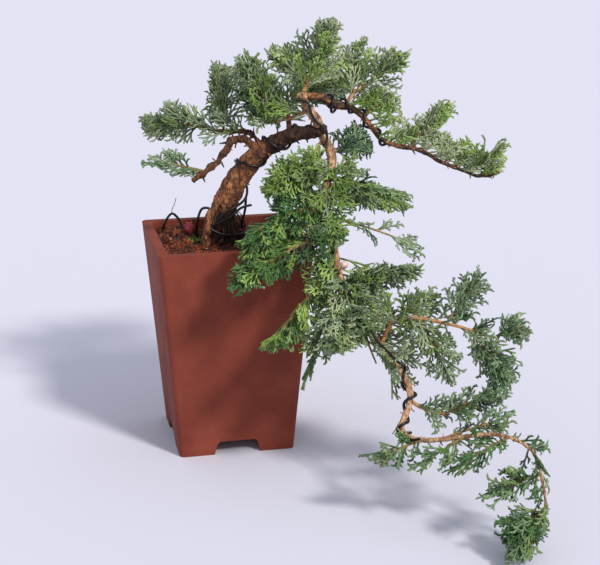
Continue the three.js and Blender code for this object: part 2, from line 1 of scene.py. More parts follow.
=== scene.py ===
# %% [markdown]
# # A juniper bonsai in a tall clay pot
#
# The tree leans out of a tall, square pot, and its longest limb hangs past the rim down to the
# table. The solids of the tree and the pot come in as a fixed frame. This lesson dresses them: it
# gives the pot its soft edges, the soil its grit, the wood its bark, and every mass of foliage its
# thin, cord-like twiglets.
#
# Places are given in millimetres from the middle of the pot's foot, as a maker would measure them,
# and one helper turns them into metres in the frame's own coordinates.

# %% Load the frame
import math
import random
import bpy
import numpy as np
from mathutils import Matrix, Vector


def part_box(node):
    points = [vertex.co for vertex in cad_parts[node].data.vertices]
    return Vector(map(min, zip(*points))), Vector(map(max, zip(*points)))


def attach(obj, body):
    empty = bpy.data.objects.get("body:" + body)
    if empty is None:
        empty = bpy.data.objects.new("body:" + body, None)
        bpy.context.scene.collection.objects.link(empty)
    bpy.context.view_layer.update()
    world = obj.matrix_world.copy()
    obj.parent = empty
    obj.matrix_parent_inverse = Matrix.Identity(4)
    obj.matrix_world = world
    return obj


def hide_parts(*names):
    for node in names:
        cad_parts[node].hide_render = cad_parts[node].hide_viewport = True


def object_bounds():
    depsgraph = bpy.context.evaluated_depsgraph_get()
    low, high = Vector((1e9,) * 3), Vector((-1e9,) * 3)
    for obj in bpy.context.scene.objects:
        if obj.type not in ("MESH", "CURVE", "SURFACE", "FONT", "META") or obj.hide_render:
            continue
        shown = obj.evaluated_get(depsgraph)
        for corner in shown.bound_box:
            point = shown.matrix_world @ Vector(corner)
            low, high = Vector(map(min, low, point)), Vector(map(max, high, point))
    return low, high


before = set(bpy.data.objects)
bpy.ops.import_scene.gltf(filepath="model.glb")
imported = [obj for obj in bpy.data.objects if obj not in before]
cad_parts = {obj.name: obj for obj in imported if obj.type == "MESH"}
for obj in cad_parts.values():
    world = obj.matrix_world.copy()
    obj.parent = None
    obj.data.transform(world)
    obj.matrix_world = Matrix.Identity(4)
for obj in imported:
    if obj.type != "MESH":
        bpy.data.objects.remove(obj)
solid_box = [list(corner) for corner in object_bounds()]
scene = bpy.context.scene
pot_low, pot_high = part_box("pot")
pot_middle = Vector(((pot_low.x + pot_high.x) / 2, (pot_low.y + pot_high.y) / 2, 0))
print("solids' box, metres:", [[round(v, 3) for v in corner] for corner in solid_box])


def at(x, y, z):
    """A place in millimetres from the middle of the pot's foot, as metres in the frame."""
    return pot_middle + Vector((x, y, z)) / 1000


def mm(length):
    """Millimetres as metres."""
    return length / 1000


# %% [markdown]
# ## Camera
#
# The camera is set to the picture that the tree is rebuilt from: about 1.2 m in front of the pot,
# a little to its left, and looking down by 16 degrees. A long lens of 84 mm keeps the pot's sides
# nearly parallel. The same numbers turn a pixel of that picture into a place on an upright or a
# level plane, which finds the small loops of wire near the soil, and a place into a pixel, which
# keeps the foliage out of the gaps that the picture shows.

# %% Camera
picture_width, picture_height = 600, 565
focal_pixels = 1400
camera_yaw, camera_pitch = 0.2162, 0.2872
camera_place = (-187.6, -1155.0, 484.3)

lens = bpy.data.cameras.new("camera")
lens.sensor_width = 36
lens.lens = lens.sensor_width * focal_pixels / picture_width
camera = bpy.data.objects.new("camera", lens)
camera.location = at(*camera_place)
camera.rotation_euler = (math.pi / 2 - camera_pitch, 0, -camera_yaw)
scene.collection.objects.link(camera)
scene.camera = camera

look = Vector((math.sin(camera_yaw) * math.cos(camera_pitch),
               math.cos(camera_yaw) * math.cos(camera_pitch), -math.sin(camera_pitch)))
look_right = Vector((math.cos(camera_yaw), -math.sin(camera_yaw), 0))
look_up = look_right.cross(look)


# %% Between the picture and the tree
def seen_at(across, down, depth):
    """The place, in millimetres, of a pixel of the picture on the upright plane y = depth."""
    ray = (look + look_right * (across - picture_width / 2) / focal_pixels
           - look_up * (down - picture_height / 2) / focal_pixels)
    start = Vector(camera_place)
    return start + ray * ((depth - start.y) / ray.y)


def seen_on(across, down, height):
    """The place, in millimetres, of a pixel of the picture on the level plane z = height."""
    aim = seen_at(across, down, 0) - Vector(camera_place)
    return Vector(camera_place) + aim * ((height - camera_place[2]) / aim.z)


def picture_places(places):
    """Where places in millimetres, one to a row, are seen in the picture, in pixels."""
    away = np.asarray(places) - np.array(camera_place)
    ahead = away @ np.array(look)
    right = focal_pixels * (away @ np.array(look_right)) / ahead
    up = focal_pixels * (away @ np.array(look_up)) / ahead
    return np.stack([picture_width / 2 + right, picture_height / 2 - up], axis=1)


print("lens", round(lens.lens, 1), "mm")

# %% [markdown]
# ## Floor and light
#
# The tree stands on a plain pale floor in open shade, with soft light from the upper right in
# front. A wide sun gives the soft shadows that fall to the left and behind, and a pale, slightly
# blue world fills them, as a bright sky does. Colours are shown without a film curve, so
# that the clay keeps its red and the leaves their green.

# %% Floor and light
floor_side, floor_colour, floor_roughness = 60, (0.60, 0.60, 0.70, 1), 0.9
sun_from, sun_strength, sun_width = (0.50, -0.92, 0.95), 2.9, math.radians(9)
sun_colour = (1.0, 0.96, 0.90)
sky_colour, sky_strength = (0.82, 0.85, 0.93, 1), 0.8

bpy.ops.object.select_all(action="DESELECT")
bpy.ops.mesh.primitive_plane_add(size=floor_side, location=(0, 0, 0))
floor = bpy.context.object
floor.name = "floor"
floor_material = bpy.data.materials.new("pale_cloth_floor")
floor_material.use_nodes = True
floor_shader = floor_material.node_tree.nodes["Principled BSDF"]
floor_shader.inputs["Base Color"].default_value = floor_colour
floor_shader.inputs["Roughness"].default_value = floor_roughness
floor.data.materials.append(floor_material)

sun = bpy.data.lights.new("soft_sun", "SUN")
sun.energy, sun.angle, sun.color = sun_strength, sun_width, sun_colour
sun_holder = bpy.data.objects.new("soft_sun", sun)
sun_holder.rotation_euler = (-Vector(sun_from)).to_track_quat("-Z", "Y").to_euler()
scene.collection.objects.link(sun_holder)

world = bpy.data.worlds.new("pale_sky")
world.use_nodes = True
sky = world.node_tree.nodes["Background"].inputs
sky["Color"].default_value = sky_colour
sky["Strength"].default_value = sky_strength
scene.world = world
scene.view_settings.view_transform = "Standard"
print("sun", sun_strength, "world", sky_strength)

# %% [markdown]
# ## Shared effects
#
# Clay, soil, bark and leaves all vary in tone over their surface, and clay, soil and bark have a
# fine relief. Both effects are made once as node groups with named sockets and used in each
# material with that material's own colours and sizes. The groups put out only a colour or a
# height; the shader stays in the material.

# %% Node helpers
def add_node(tree, kind, inputs=None, **settings):
    """A node with its settings made and its inputs set or linked."""
    node = tree.nodes.new("ShaderNode" + kind)
    for name, value in settings.items():
        setattr(node, name, value)
    for name, value in (inputs or {}).items():
        if isinstance(value, bpy.types.NodeSocket):
            tree.links.new(value, node.inputs[name])
        else:
            node.inputs[name].default_value = value
    return node


def add_group(name, output, **inputs):
    """A node group with one output: its tree, the sockets it is given, and the one it fills."""
    tree = bpy.data.node_groups.new(name, "ShaderNodeTree")
    for label, kind in inputs.items():
        tree.interface.new_socket(label, in_out="INPUT", socket_type="NodeSocket" + kind)
    tree.interface.new_socket(output[0], in_out="OUTPUT", socket_type="NodeSocket" + output[1])
    given, filled = tree.nodes.new("NodeGroupInput"), tree.nodes.new("NodeGroupOutput")
    return tree, given.outputs, filled.inputs[0]


def hex_colour(code):
    """A web colour as the linear colour that a shader wants."""
    shares = [int(code[i:i + 2], 16) / 255 for i in (1, 3, 5)]
    return (*[s / 12.92 if s <= 0.04045 else ((s + 0.055) / 1.055) ** 2.4 for s in shares], 1)


mix_a, mix_b, mix_result = 6, 7, 2      # a Mix node's sockets when it mixes colours


# %% Tone: three colours mixed by two sizes of noise
finer_times, broad_detail, finer_detail = 4.3, 4, 3
tone, given, tone_result = add_group(
    "tone", ("Color", "Color"), Vector="Vector", Dark="Color", Middle="Color", Light="Color",
    Scale="Float", Contrast="Float")
broad = add_node(tone, "TexNoise", {
    "Vector": given["Vector"], "Scale": given["Scale"], "Detail": broad_detail})
finer_scale = add_node(tone, "Math", {0: given["Scale"], 1: finer_times}, operation="MULTIPLY")
finer = add_node(tone, "TexNoise", {
    "Vector": given["Vector"], "Scale": finer_scale.outputs[0], "Detail": finer_detail})
both = add_node(tone, "Math", {0: broad.outputs["Fac"], 1: finer.outputs["Fac"]}, operation="ADD")
centred = add_node(tone, "Math", {0: both.outputs[0], 1: -1.0}, operation="ADD")
spread = add_node(tone, "Math", {0: centred.outputs[0], 1: given["Contrast"], 2: 0.5},
                  operation="MULTIPLY_ADD", use_clamp=True)
lower = add_node(tone, "MapRange", {"Value": spread.outputs[0], "From Max": 0.5})
upper = add_node(tone, "MapRange", {"Value": spread.outputs[0], "From Min": 0.5})
dark_mix = add_node(tone, "Mix", data_type="RGBA", inputs={
    "Factor": lower.outputs["Result"], mix_a: given["Dark"], mix_b: given["Middle"]})
light_mix = add_node(tone, "Mix", data_type="RGBA", inputs={
    "Factor": upper.outputs["Result"], mix_a: dark_mix.outputs[mix_result],
    mix_b: given["Light"]})
tone.links.new(light_mix.outputs[mix_result], tone_result)
print("group", tone.name, "with", len(tone.nodes), "nodes")

# %% Relief: a height from coarse cells and fine noise
grain_detail, grain_roughness, crack_width = 6, 0.65, 0.18
relief, given, relief_result = add_group(
    "relief", ("Height", "Float"), Vector="Vector", Grain="Float", Cracks="Float", Share="Float")
grain_noise = add_node(relief, "TexNoise", {
    "Vector": given["Vector"], "Scale": given["Grain"], "Detail": grain_detail,
    "Roughness": grain_roughness})
crack_cells = add_node(relief, "TexVoronoi", {
    "Vector": given["Vector"], "Scale": given["Cracks"]}, feature="DISTANCE_TO_EDGE")
crack_depth = add_node(relief, "MapRange", {
    "Value": crack_cells.outputs["Distance"], "From Max": crack_width})
crack_part = add_node(relief, "Math", {
    0: crack_depth.outputs["Result"], 1: given["Share"]}, operation="MULTIPLY")
height_sum = add_node(relief, "Math", {
    0: grain_noise.outputs["Fac"], 1: crack_part.outputs[0]}, operation="ADD")
relief.links.new(height_sum.outputs[0], relief_result)
print("group", relief.name, "with", len(relief.nodes), "nodes")


# %% A finish from the two groups
def make_finish(name, colours, tone_scale, contrast, relief_sizes, bump, roughness,
                stretch=(1, 1, 1), turn=(0, 0, 0)):
    """A material of three tones with a fine relief.

    Scales are in features to a metre. The relief's sizes are the scales of its grain and of its
    cracks, and the cracks' share; bump is its depth. Stretch and turn lay it along a limb.
    """
    material = bpy.data.materials.new(name)
    material.use_nodes = True
    tree = material.node_tree
    place = add_node(tree, "TexCoord")
    mapping = add_node(tree, "Mapping", {
        "Vector": place.outputs["Object"], "Scale": stretch, "Rotation": turn})
    shades = add_node(tree, "Group", node_tree=tone)
    surface = add_node(tree, "Group", node_tree=relief)
    values = dict(zip(("Dark", "Middle", "Light"), [hex_colour(code) for code in colours]))
    values |= {"Scale": tone_scale, "Contrast": contrast}
    for socket, value in values.items():
        shades.inputs[socket].default_value = value
    for socket, value in zip(("Grain", "Cracks", "Share"), relief_sizes):
        surface.inputs[socket].default_value = value
    for group in (shades, surface):
        tree.links.new(mapping.outputs["Vector"], group.inputs["Vector"])
    bumps = add_node(tree, "Bump", {
        "Strength": 1.0, "Distance": bump, "Height": surface.outputs["Height"]})
    shader = tree.nodes["Principled BSDF"].inputs
    shader["Roughness"].default_value = roughness
    tree.links.new(shades.outputs["Color"], shader["Base Color"])
    tree.links.new(bumps.outputs["Normal"], shader["Normal"])
    return material


# %% Edit mode
def start_clean():
    """Nothing selected and no edit mode, before any operator."""
    if bpy.context.object and bpy.context.object.mode != "OBJECT":
        leave_edit()
    bpy.ops.object.select_all(action="DESELECT")


def leave_edit():
    bpy.ops.object.mode_set(mode="OBJECT")


def edit_all():
    """Opens edit mode with all of the active piece selected."""
    bpy.ops.object.mode_set(mode="EDIT")
    bpy.ops.mesh.select_all(action="SELECT")


def edit_picked(kind, passes):
    """Opens edit mode with only the edges or corners selected whose places pass a test."""
    mesh = bpy.context.object.data
    bpy.ops.object.mode_set(mode="EDIT")
    bpy.ops.mesh.select_mode(type=kind)
    bpy.ops.mesh.select_all(action="DESELECT")
    leave_edit()
    for part in mesh.edges if kind == "EDGE" else mesh.vertices:
        ends = part.vertices if kind == "EDGE" else [part.index]
        part.select = passes(*[mesh.vertices[i].co for i in ends])
    bpy.ops.object.mode_set(mode="EDIT")


# %% Pieces and modifiers
def make_active(piece):
    start_clean()
    piece.select_set(True)
    bpy.context.view_layer.objects.active = piece


def apply_modifier(piece, kind, **settings):
    """A modifier that is set, applied at once and gone."""
    make_active(piece)
    modifier = piece.modifiers.new(kind.lower(), kind)
    for name, value in settings.items():
        setattr(modifier, name, value)
    bpy.ops.object.modifier_apply(modifier=modifier.name)


def settle(piece, name):
    """The piece's place goes into its mesh, and the piece gets its name."""
    make_active(piece)
    bpy.ops.object.transform_apply(location=True, rotation=True, scale=True)
    piece.name = name
    piece.data.name = name
    return piece


def finish_piece(piece, material, slot, *nodes):
    """The piece gets its finish, rides on the tree and stands for its nodes."""
    piece.data.materials.clear()
    piece.data.materials.append(material)
    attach(piece, "root")
    if nodes:
        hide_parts(*nodes)
    triangles = sum(len(face.vertices) - 2 for face in piece.data.polygons)
    print(piece.name, triangles, "triangles")


# %% [markdown]
# ## Pot
#
# The pot is a slab-built cascade pot of unglazed red-brown clay: square, wider at the rim than at
# the foot, with a flat rim and a low arch cut between its feet. It could be an extruded square,
# but a cube that is tapered in edit mode, with its upright edges rounded first, is how the form is
# thought of. The hollow, the recess under the floor and the arches are cut with booleans, and a
# bevel then softens every edge, as a wet sponge does.

# %% Pot sizes
pot_height, rim_side, foot_side, wall = 183, 130, 100, 8
foot_height, foot_wall, floor_thickness = 12, 10, 9
arch_width, arch_top_width, arch_shoulder = 46, 34, 3
drain_diameter, drain_facets = 14, 24
corner_radius, edge_radius, corner_steps = 4, 1.7, 3
past_end = 5       # how far a cutter reaches past the pot


def half_side(height):
    """Half the pot's side at a height."""
    return (foot_side + (rim_side - foot_side) * height / pot_height) / 2


# %% Tapered block
def tapered_block(low, high, low_half, high_half):
    """A square block whose top is wider than its foot, with rounded upright edges."""
    start_clean()
    middle = at(0, 0, (low + high) / 2)
    bpy.ops.mesh.primitive_cube_add(size=1, location=middle,
                                    scale=(mm(2 * low_half), mm(2 * low_half), mm(high - low)))
    block = settle(bpy.context.object, "block")
    edit_picked("EDGE", lambda a, b: abs(a.z - b.z) > mm(1))
    bpy.ops.mesh.bevel(offset=mm(corner_radius), segments=corner_steps, affect="EDGES")
    edit_picked("VERT", lambda corner: corner.z > middle.z)
    widen = high_half / low_half
    bpy.ops.transform.resize(value=(widen, widen, 1), center_override=at(0, 0, high))
    leave_edit()
    return block


def cut_away(piece, cutter):
    """Cuts one block out of another and removes the cutter."""
    apply_modifier(piece, "BOOLEAN", object=cutter, operation="DIFFERENCE", solver="EXACT")
    bpy.data.objects.remove(cutter)


# %% Pot body, hollow and recess
pot = tapered_block(0, pot_height, foot_side / 2, rim_side / 2)
floor_level, past_rim = foot_height + floor_thickness, pot_height + past_end
cut_away(pot, tapered_block(floor_level, past_rim, half_side(floor_level) - wall,
                            half_side(past_rim) - wall))
cut_away(pot, tapered_block(-past_end, foot_height, foot_side / 2 - foot_wall,
                            half_side(foot_height) - foot_wall))
start_clean()
bpy.ops.mesh.primitive_cylinder_add(vertices=drain_facets, radius=mm(drain_diameter / 2),
                                    depth=mm(floor_thickness * 3), location=at(0, 0, foot_height))
cut_away(pot, settle(bpy.context.object, "drain"))
print("pot walls", wall, "mm, floor", floor_thickness, "mm")


# %% Arches between the feet
def arch_cutter(turn):
    """The low arch that is cut through from side to side, narrower at its top."""
    start_clean()
    bpy.ops.mesh.primitive_cube_add(size=1, location=at(0, 0, 0), scale=(
        mm(arch_width), mm(rim_side), mm(2 * foot_height)))
    arch = settle(bpy.context.object, "arch")
    for vertex in arch.data.vertices:
        if vertex.co.z > 0:
            inward = 1 if vertex.co.x < pot_middle.x else -1
            vertex.co.x += inward * mm(arch_width - arch_top_width) / 2
    edit_picked("EDGE", lambda a, b: min(a.z, b.z) > 0 and abs(a.y - b.y) > mm(1))
    bpy.ops.mesh.bevel(offset=mm(arch_shoulder), segments=corner_steps, affect="EDGES")
    bpy.ops.mesh.select_all(action="SELECT")
    bpy.ops.transform.rotate(value=turn, orient_axis="Z", center_override=pot_middle)
    leave_edit()
    return arch


for turn in (0, math.pi / 2):
    cut_away(pot, arch_cutter(turn))
apply_modifier(pot, "BEVEL", limit_method="ANGLE", angle_limit=math.radians(38),
               width=mm(edge_radius), segments=corner_steps)
settle(pot, "clay_pot")
bpy.ops.object.shade_smooth_by_angle(angle=math.radians(35))
print("pot", [round(v * 1000) for v in pot.dimensions], "mm")

# %% [markdown]
# ## Clay
#
# The clay is fired but not glazed: a red-brown that is nearly even, slightly darker and greyer in
# clouds, with a fine tooth and a soft sheen where it was smoothed. Three near tones mixed by noise
# give the clouds, and a small bump gives the tooth.

# %% Clay finish
clay = make_finish("fired_clay", ("#652c20", "#7b3829", "#8c4635"), 9, 1.0, (900, 160, 0.1),
                   0.0003, 0.7)
clay.node_tree.nodes["Principled BSDF"].inputs["Specular IOR Level"].default_value = 0.2
finish_piece(pot, clay, "clay", "pot")

# %% [markdown]
# ## Soil
#
# The pot is filled to just under its rim with gritty red-brown soil: grains of 2 to 5 mm with dark
# gaps, heaped a little towards the trunk and nearly to the rim in the far left corner. A fine grid
# is mounded, given a rough relief and closed below, and then fifteen hundred angular grains are
# strewn over it. Three grains are modelled, each a ball of few faces pulled out of shape, and the
# copies are joined by colour into three pieces.

# %% Soil bed
soil_edge, soil_crown, soil_depth = 172.5, 176, 30
soil_gap, soil_cells = 0.2, 96
soil_half = half_side(soil_edge) - wall - soil_gap
heap_place, heap_rise, heap_spread = (-38, 38), 6.5, 26
start_clean()
bpy.ops.mesh.primitive_grid_add(x_subdivisions=soil_cells, y_subdivisions=soil_cells,
                                size=mm(2 * soil_half), location=at(0, 0, soil_edge))
soil = settle(bpy.context.object, "soil_bed")


def soil_level(x, y):
    """The height of the soil in millimetres over a place of the pot's mouth."""
    away = max(abs(x), abs(y)) / soil_half
    from_heap = math.hypot(x - heap_place[0], y - heap_place[1]) / heap_spread
    return (soil_edge + (soil_crown - soil_edge) * max(0.0, 1 - away ** 2)
            + heap_rise * math.exp(-from_heap ** 2))


for vertex in soil.data.vertices:
    local = (vertex.co - pot_middle) * 1000
    vertex.co.z = mm(soil_level(local.x, local.y))


def rough_up(piece, kind, grain, depth):
    """Pushes a surface in and out by a texture whose features are as wide as its grain."""
    texture = bpy.data.textures.new(f"{piece.name}_{kind}", kind)
    texture.noise_scale = mm(grain)
    apply_modifier(piece, "DISPLACE", texture=texture, texture_coords="LOCAL",
                   strength=mm(depth), mid_level=0.5)

# %% Soil relief and sides
rough_up(soil, "CLOUDS", 14, 2.2)
rough_up(soil, "VORONOI", 4, 1.4)
make_active(soil)
bpy.ops.object.mode_set(mode="EDIT")
bpy.ops.mesh.select_mode(type="EDGE")
bpy.ops.mesh.select_all(action="DESELECT")
bpy.ops.mesh.select_non_manifold()
bpy.ops.mesh.extrude_region_move(TRANSFORM_OT_translate={"value": (0, 0, -mm(soil_depth))})
taper = (half_side(soil_edge - soil_depth) - wall) / (half_side(soil_edge) - wall)
bpy.ops.transform.resize(value=(taper, taper, 1), center_override=at(0, 0, 0))
bpy.ops.mesh.edge_face_add()
bpy.ops.mesh.select_all(action="SELECT")
bpy.ops.mesh.normals_make_consistent(inside=False)
leave_edit()
soil_finish = make_finish("red_grit", ("#170b06", "#3d1a0b", "#6e3414"), 260, 3.0,
                          (900, 420, 0.6), 0.0008, 0.95)
finish_piece(soil, soil_finish, "soil", "soil")


# %% Joined copies from arrays
def arrays_of(piece):
    """A piece's corners and triangles as arrays; the piece itself is removed."""
    source = piece.data
    source.calc_loop_triangles()
    corners = np.empty(len(source.vertices) * 3)
    source.vertices.foreach_get("co", corners)
    triangles = np.empty(len(source.loop_triangles) * 3, int)
    source.loop_triangles.foreach_get("vertices", triangles)
    bpy.data.objects.remove(piece)
    return corners.reshape(-1, 3), triangles.reshape(-1, 3)


def joined_piece(name, copies):
    """One object from many copies, each given as its corners in metres and its triangles."""
    starts = np.cumsum([0] + [len(corners) for corners, _ in copies])
    corners = np.concatenate([corners for corners, _ in copies])
    triangles = np.concatenate([faces + start for (_, faces), start in zip(copies, starts)])
    mesh = bpy.data.meshes.new(name)
    mesh.vertices.add(len(corners))
    mesh.vertices.foreach_set("co", corners.astype(np.float32).ravel())
    mesh.loops.add(triangles.size)
    mesh.loops.foreach_set("vertex_index", triangles.astype(np.int32).ravel())
    mesh.polygons.add(len(triangles))
    mesh.polygons.foreach_set("loop_start", np.arange(0, triangles.size, 3, dtype=np.int32))
    mesh.update(calc_edges=True)
    piece = bpy.data.objects.new(name, mesh)
    scene.collection.objects.link(piece)
    return piece


# %% Grains
def model_grain(seed):
    """An angular grain, one unit across, as arrays."""
    start_clean()
    bpy.ops.mesh.primitive_ico_sphere_add(subdivisions=1, radius=0.5)
    grain = bpy.context.object
    dice = random.Random(seed)
    for vertex in grain.data.vertices:
        vertex.co *= dice.uniform(0.7, 1.15)
    edit_all()
    bpy.ops.transform.resize(value=(1.1, 0.85, 0.75))
    leave_edit()
    return arrays_of(grain)


grain_shapes = [model_grain(seed) for seed in (3, 5, 8)]


def random_turn(dice):
    """A turn in any direction, as a three by three array."""
    axis = Vector((dice.gauss(0, 1), dice.gauss(0, 1), dice.gauss(0, 1))).normalized()
    return np.array(Matrix.Rotation(dice.uniform(0, 2 * math.pi), 3, axis))


def placed(shape, turn, size, place):
    """A shape's corners sized, turned and moved to a place in metres."""
    corners, triangles = shape
    return (corners * size) @ turn.T + np.array(place), triangles


# %% Strewn grains
# Each colour has its share in a hundred, its three tones, their contrast and the roughness.
grain_count, smallest_grain, largest_grain = 1500, 1.8, 4.6
grain_kinds = {
    "red": (64, ("#4a1b0c", "#76320f", "#994c20"), 2.2, 0.9),
    "dark": (34, ("#170c07", "#391909", "#582a10"), 2.0, 0.9),
    "pale": (2, ("#7d6656", "#a5846f", "#c3a793"), 1.5, 0.85),
}
grain_shares = [row[0] for row in grain_kinds.values()]
wall_gap, highest_perch = 0.6, 0.25
dice = random.Random(11)
strewn = {kind: [] for kind in grain_kinds}
for i in range(grain_count):
    size = smallest_grain + (largest_grain - smallest_grain) * dice.random() ** 2
    room = soil_half - size / 2 - wall_gap
    x, y = dice.uniform(-room, room), dice.uniform(-room, room)
    kind = dice.choices(list(grain_kinds), weights=grain_shares)[0]
    place = at(x, y, soil_level(x, y) + size * dice.uniform(0.0, highest_perch))
    strewn[kind].append(placed(dice.choice(grain_shapes), random_turn(dice), mm(size), place))
for kind, (_, colours, contrast, roughness) in grain_kinds.items():
    grain_finish = make_finish(f"{kind}_grains", colours, 150, contrast, (1500, 500, 0.2), 0.0003,
                               roughness)
    finish_piece(joined_piece(f"grains_{kind}", strewn[kind]), grain_finish, "soil")

# %% [markdown]
# ## Moss
#
# A little yellow-green moss grows in front of the trunk, and a small tuft of crimson stalks stands
# beside it. Both are made of one spike, modelled once: its copies are set close together on the
# soil, short and many for the moss, longer and fewer for the tuft.

# %% Moss and red tuft
spike_swell = 1.7


def model_spike():
    """A moss shoot, one unit tall: a five-sided cone, swollen at its middle."""
    start_clean()
    bpy.ops.mesh.primitive_cone_add(vertices=5, radius1=0.22, radius2=0.03, depth=1,
                                    location=(0, 0, 0.5))
    spike = settle(bpy.context.object, "spike")
    edit_all()
    bpy.ops.mesh.subdivide(number_cuts=1)
    leave_edit()
    for vertex in spike.data.vertices:
        if 0.2 < vertex.co.z < 0.8:
            vertex.co.x *= spike_swell
            vertex.co.y *= spike_swell
    return arrays_of(spike)


spike_shape = model_spike()
most_lean, spike_lift = 0.5, 0.6


def strew_patch(name, middle, spread, count, size, material, seed):
    """A patch of spikes on the soil; its spread and their size are in millimetres."""
    dice = random.Random(seed)
    copies = []
    for _ in range(count):
        x = dice.gauss(middle.x, spread)
        y = dice.gauss(middle.y, spread)
        turn = np.array(Matrix.Rotation(dice.uniform(0, 6.28), 3, "Z")
                        @ Matrix.Rotation(dice.uniform(-most_lean, most_lean), 3, "X"))
        place = at(x, y, soil_level(x, y) + spike_lift)
        copies.append(placed(spike_shape, turn, mm(size * dice.uniform(0.7, 1.3)), place))
    finish_piece(joined_piece(name, copies), material, "soil")


moss_green = make_finish("moss_green", ("#3a4316", "#697428", "#979f48"), 220, 2.0,
                         (1200, 600, 0.1), 0.0003, 0.8)
crimson = make_finish("crimson_feed", ("#4d0f18", "#7c1c28", "#96343c"), 200, 1.6,
                      (1200, 500, 0.2), 0.0003, 0.7)
strew_patch("moss", seen_on(195, 241, 176), 3.6, 70, 2.4, moss_green, 21)
strew_patch("feed", seen_on(190, 236, 177), 1.5, 30, 8, crimson, 22)

# %% [markdown]
# ## Limbs
#
# The wood follows named lines: each limb's middle line runs through a few places, and its radius
# goes from its first to its last. The solids were built from the same lines, so they are written
# here again: the wires, the twigs and the foliage all start from them.

# %% Limb lines
limbs = {
    "trunk": ([(5, 6, 172), (-1, 5, 196), (4, -1, 218), (14, -7, 237), (26, -14, 254),
               (41, -21, 265), (57, -29, 273), (75, -37, 276)], (12.2, 5.4)),
    "cut": ([(25, -14, 253), (19, -16, 266), (10, -17, 269), (2, -17, 266), (-4, -18, 254),
             (-16, -19, 244), (-30, -19, 235)], (3.7, 2.8)),
    "left": ([(26, -12, 256), (27, -7, 268), (16, -2, 272), (-1, 2, 271), (-15, 7, 274)],
             (3.2, 1.5)),
    "top": ([(75, -37, 276), (72, -38, 286), (65, -35, 294), (61, -32, 304)], (5, 3.8)),
    "crest": ([(67, -36, 294), (58, -28, 288), (49, -20, 284), (38, -15, 280)], (1.9, 1.4)),
    "crown": ([(61, -32, 304), (66, -31, 318), (74, -31, 328)], (2.2, 1.5)),
    "right": ([(61, -32, 304), (76, -33, 304), (87, -33, 297), (101, -35, 295), (113, -40, 285),
               (124, -46, 270), (136, -51, 264), (155, -59, 261), (170, -66, 252),
               (186, -72, 246), (202, -78, 240), (217, -82, 244)], (3.4, 1.3)),
    "upper_right": ([(96, -34, 295), (108, -28, 307), (128, -26, 318)], (2.1, 1.5)),
    "back": ([(52, -27, 271), (54, -8, 284), (59, 16, 290), (62, 32, 294)], (2.8, 1.6)),
    "cascade": ([(75, -37, 276), (82, -50, 257), (76, -60, 238), (68, -70, 214), (75, -86, 191),
                 (76, -100, 172), (84, -129, 145), (103, -160, 120), (112, -180, 102),
                 (111, -189, 90), (102, -199, 75), (108, -206, 68), (125, -218, 70),
                 (154, -238, 80), (172, -249, 80), (187, -261, 69), (189, -281, 37)],
                (4.4, 1.2)),
    "far_right": ([(98, -152, 127), (107, -155, 146), (121, -162, 150), (139, -172, 148),
                   (155, -180, 145), (178, -189, 138)], (2.2, 1.2)),
    "lower_right": ([(111.5, -188, 92), (122, -193, 85), (137, -198, 82)], (1.7, 1.3)),
    "second_strand": ([(78, -41, 270), (71, -47, 266), (71, -52, 261), (66, -57, 254)],
                      (2.2, 1.2)),
    "front_root": ([(-3, -3, 220), (-12, -9, 207), (-18, -11, 191), (-18, -9, 172)], (4, 3.2)),
}


# %% Places along a limb
def along(points, step):
    """The place on the smooth line through points at a step counted in points."""
    points = np.array(points, float)
    last = len(points) - 1
    i = min(int(max(step, 0)), last - 1)
    t = step - i
    before = points[i - 1] if i > 0 else 2 * points[0] - points[1]
    after = points[i + 2] if i + 2 <= last else 2 * points[last] - points[last - 1]
    p, q = points[i], points[i + 1]
    lead, trail = (q - before) / 2, (after - p) / 2
    return ((2 * p - 2 * q + lead + trail) * t ** 3
            + (3 * q - 3 * p - 2 * lead - trail) * t ** 2 + lead * t + p)


def limb_place(name, step):
    return along(limbs[name][0], step)


def limb_radius(name, step):
    """A limb's radius at a step, or at each of an array of steps."""
    points, (first, last) = limbs[name]
    return first + (last - first) * step / (len(points) - 1)


def limb_steps(name, count):
    """Evenly spaced steps from a limb's foot to its end."""
    return np.linspace(0, len(limbs[name][0]) - 1, count)


def line_places(name, count=60):
    """Places all along a limb's middle line."""
    return np.array([limb_place(name, step) for step in limb_steps(name, count)])


limb_lengths = {name: sum(np.linalg.norm(np.diff(line_places(name), axis=0), axis=1))
                for name in limbs}
print("limb lengths, mm:", {name: round(length) for name, length in limb_lengths.items()})

# %% [markdown]
# ## Bark
#
# Juniper bark is a coat of fibrous flakes: orange-brown and lumpy on the old trunk, tan and tight
# on the young limbs; the dark where the limbs fork is painted shade, added later. A modeller could
# sculpt it, but here the faceted solids are copied and merged, and a voxel remesh turns each group
# of limbs into one even skin.
# The skin is smoothed, and then pushed in and out by textures: round lumps, and fibres that are
# stretched along the limb, so that the ridges run with it.

# %% Copy of the solid wood
same_place = 1e-5      # metres between corners that are merged


def wood_copy(name, nodes, voxel, rounds):
    """One even skin over some limbs' solids."""
    copies = []
    for node in nodes:
        copy = bpy.data.objects.new(f"{name}_{node}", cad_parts[node].data.copy())
        scene.collection.objects.link(copy)
        copies.append(copy)
    start_clean()
    for copy in copies:
        copy.select_set(True)
    bpy.context.view_layer.objects.active = copies[0]
    bpy.ops.object.join()
    wood = bpy.context.object
    edit_all()
    bpy.ops.mesh.remove_doubles(threshold=same_place)
    leave_edit()
    apply_modifier(wood, "REMESH", mode="VOXEL", voxel_size=mm(voxel), adaptivity=0)
    apply_modifier(wood, "SMOOTH", factor=0.5, iterations=rounds)
    return settle(wood, name)


fibre_stretch = 5


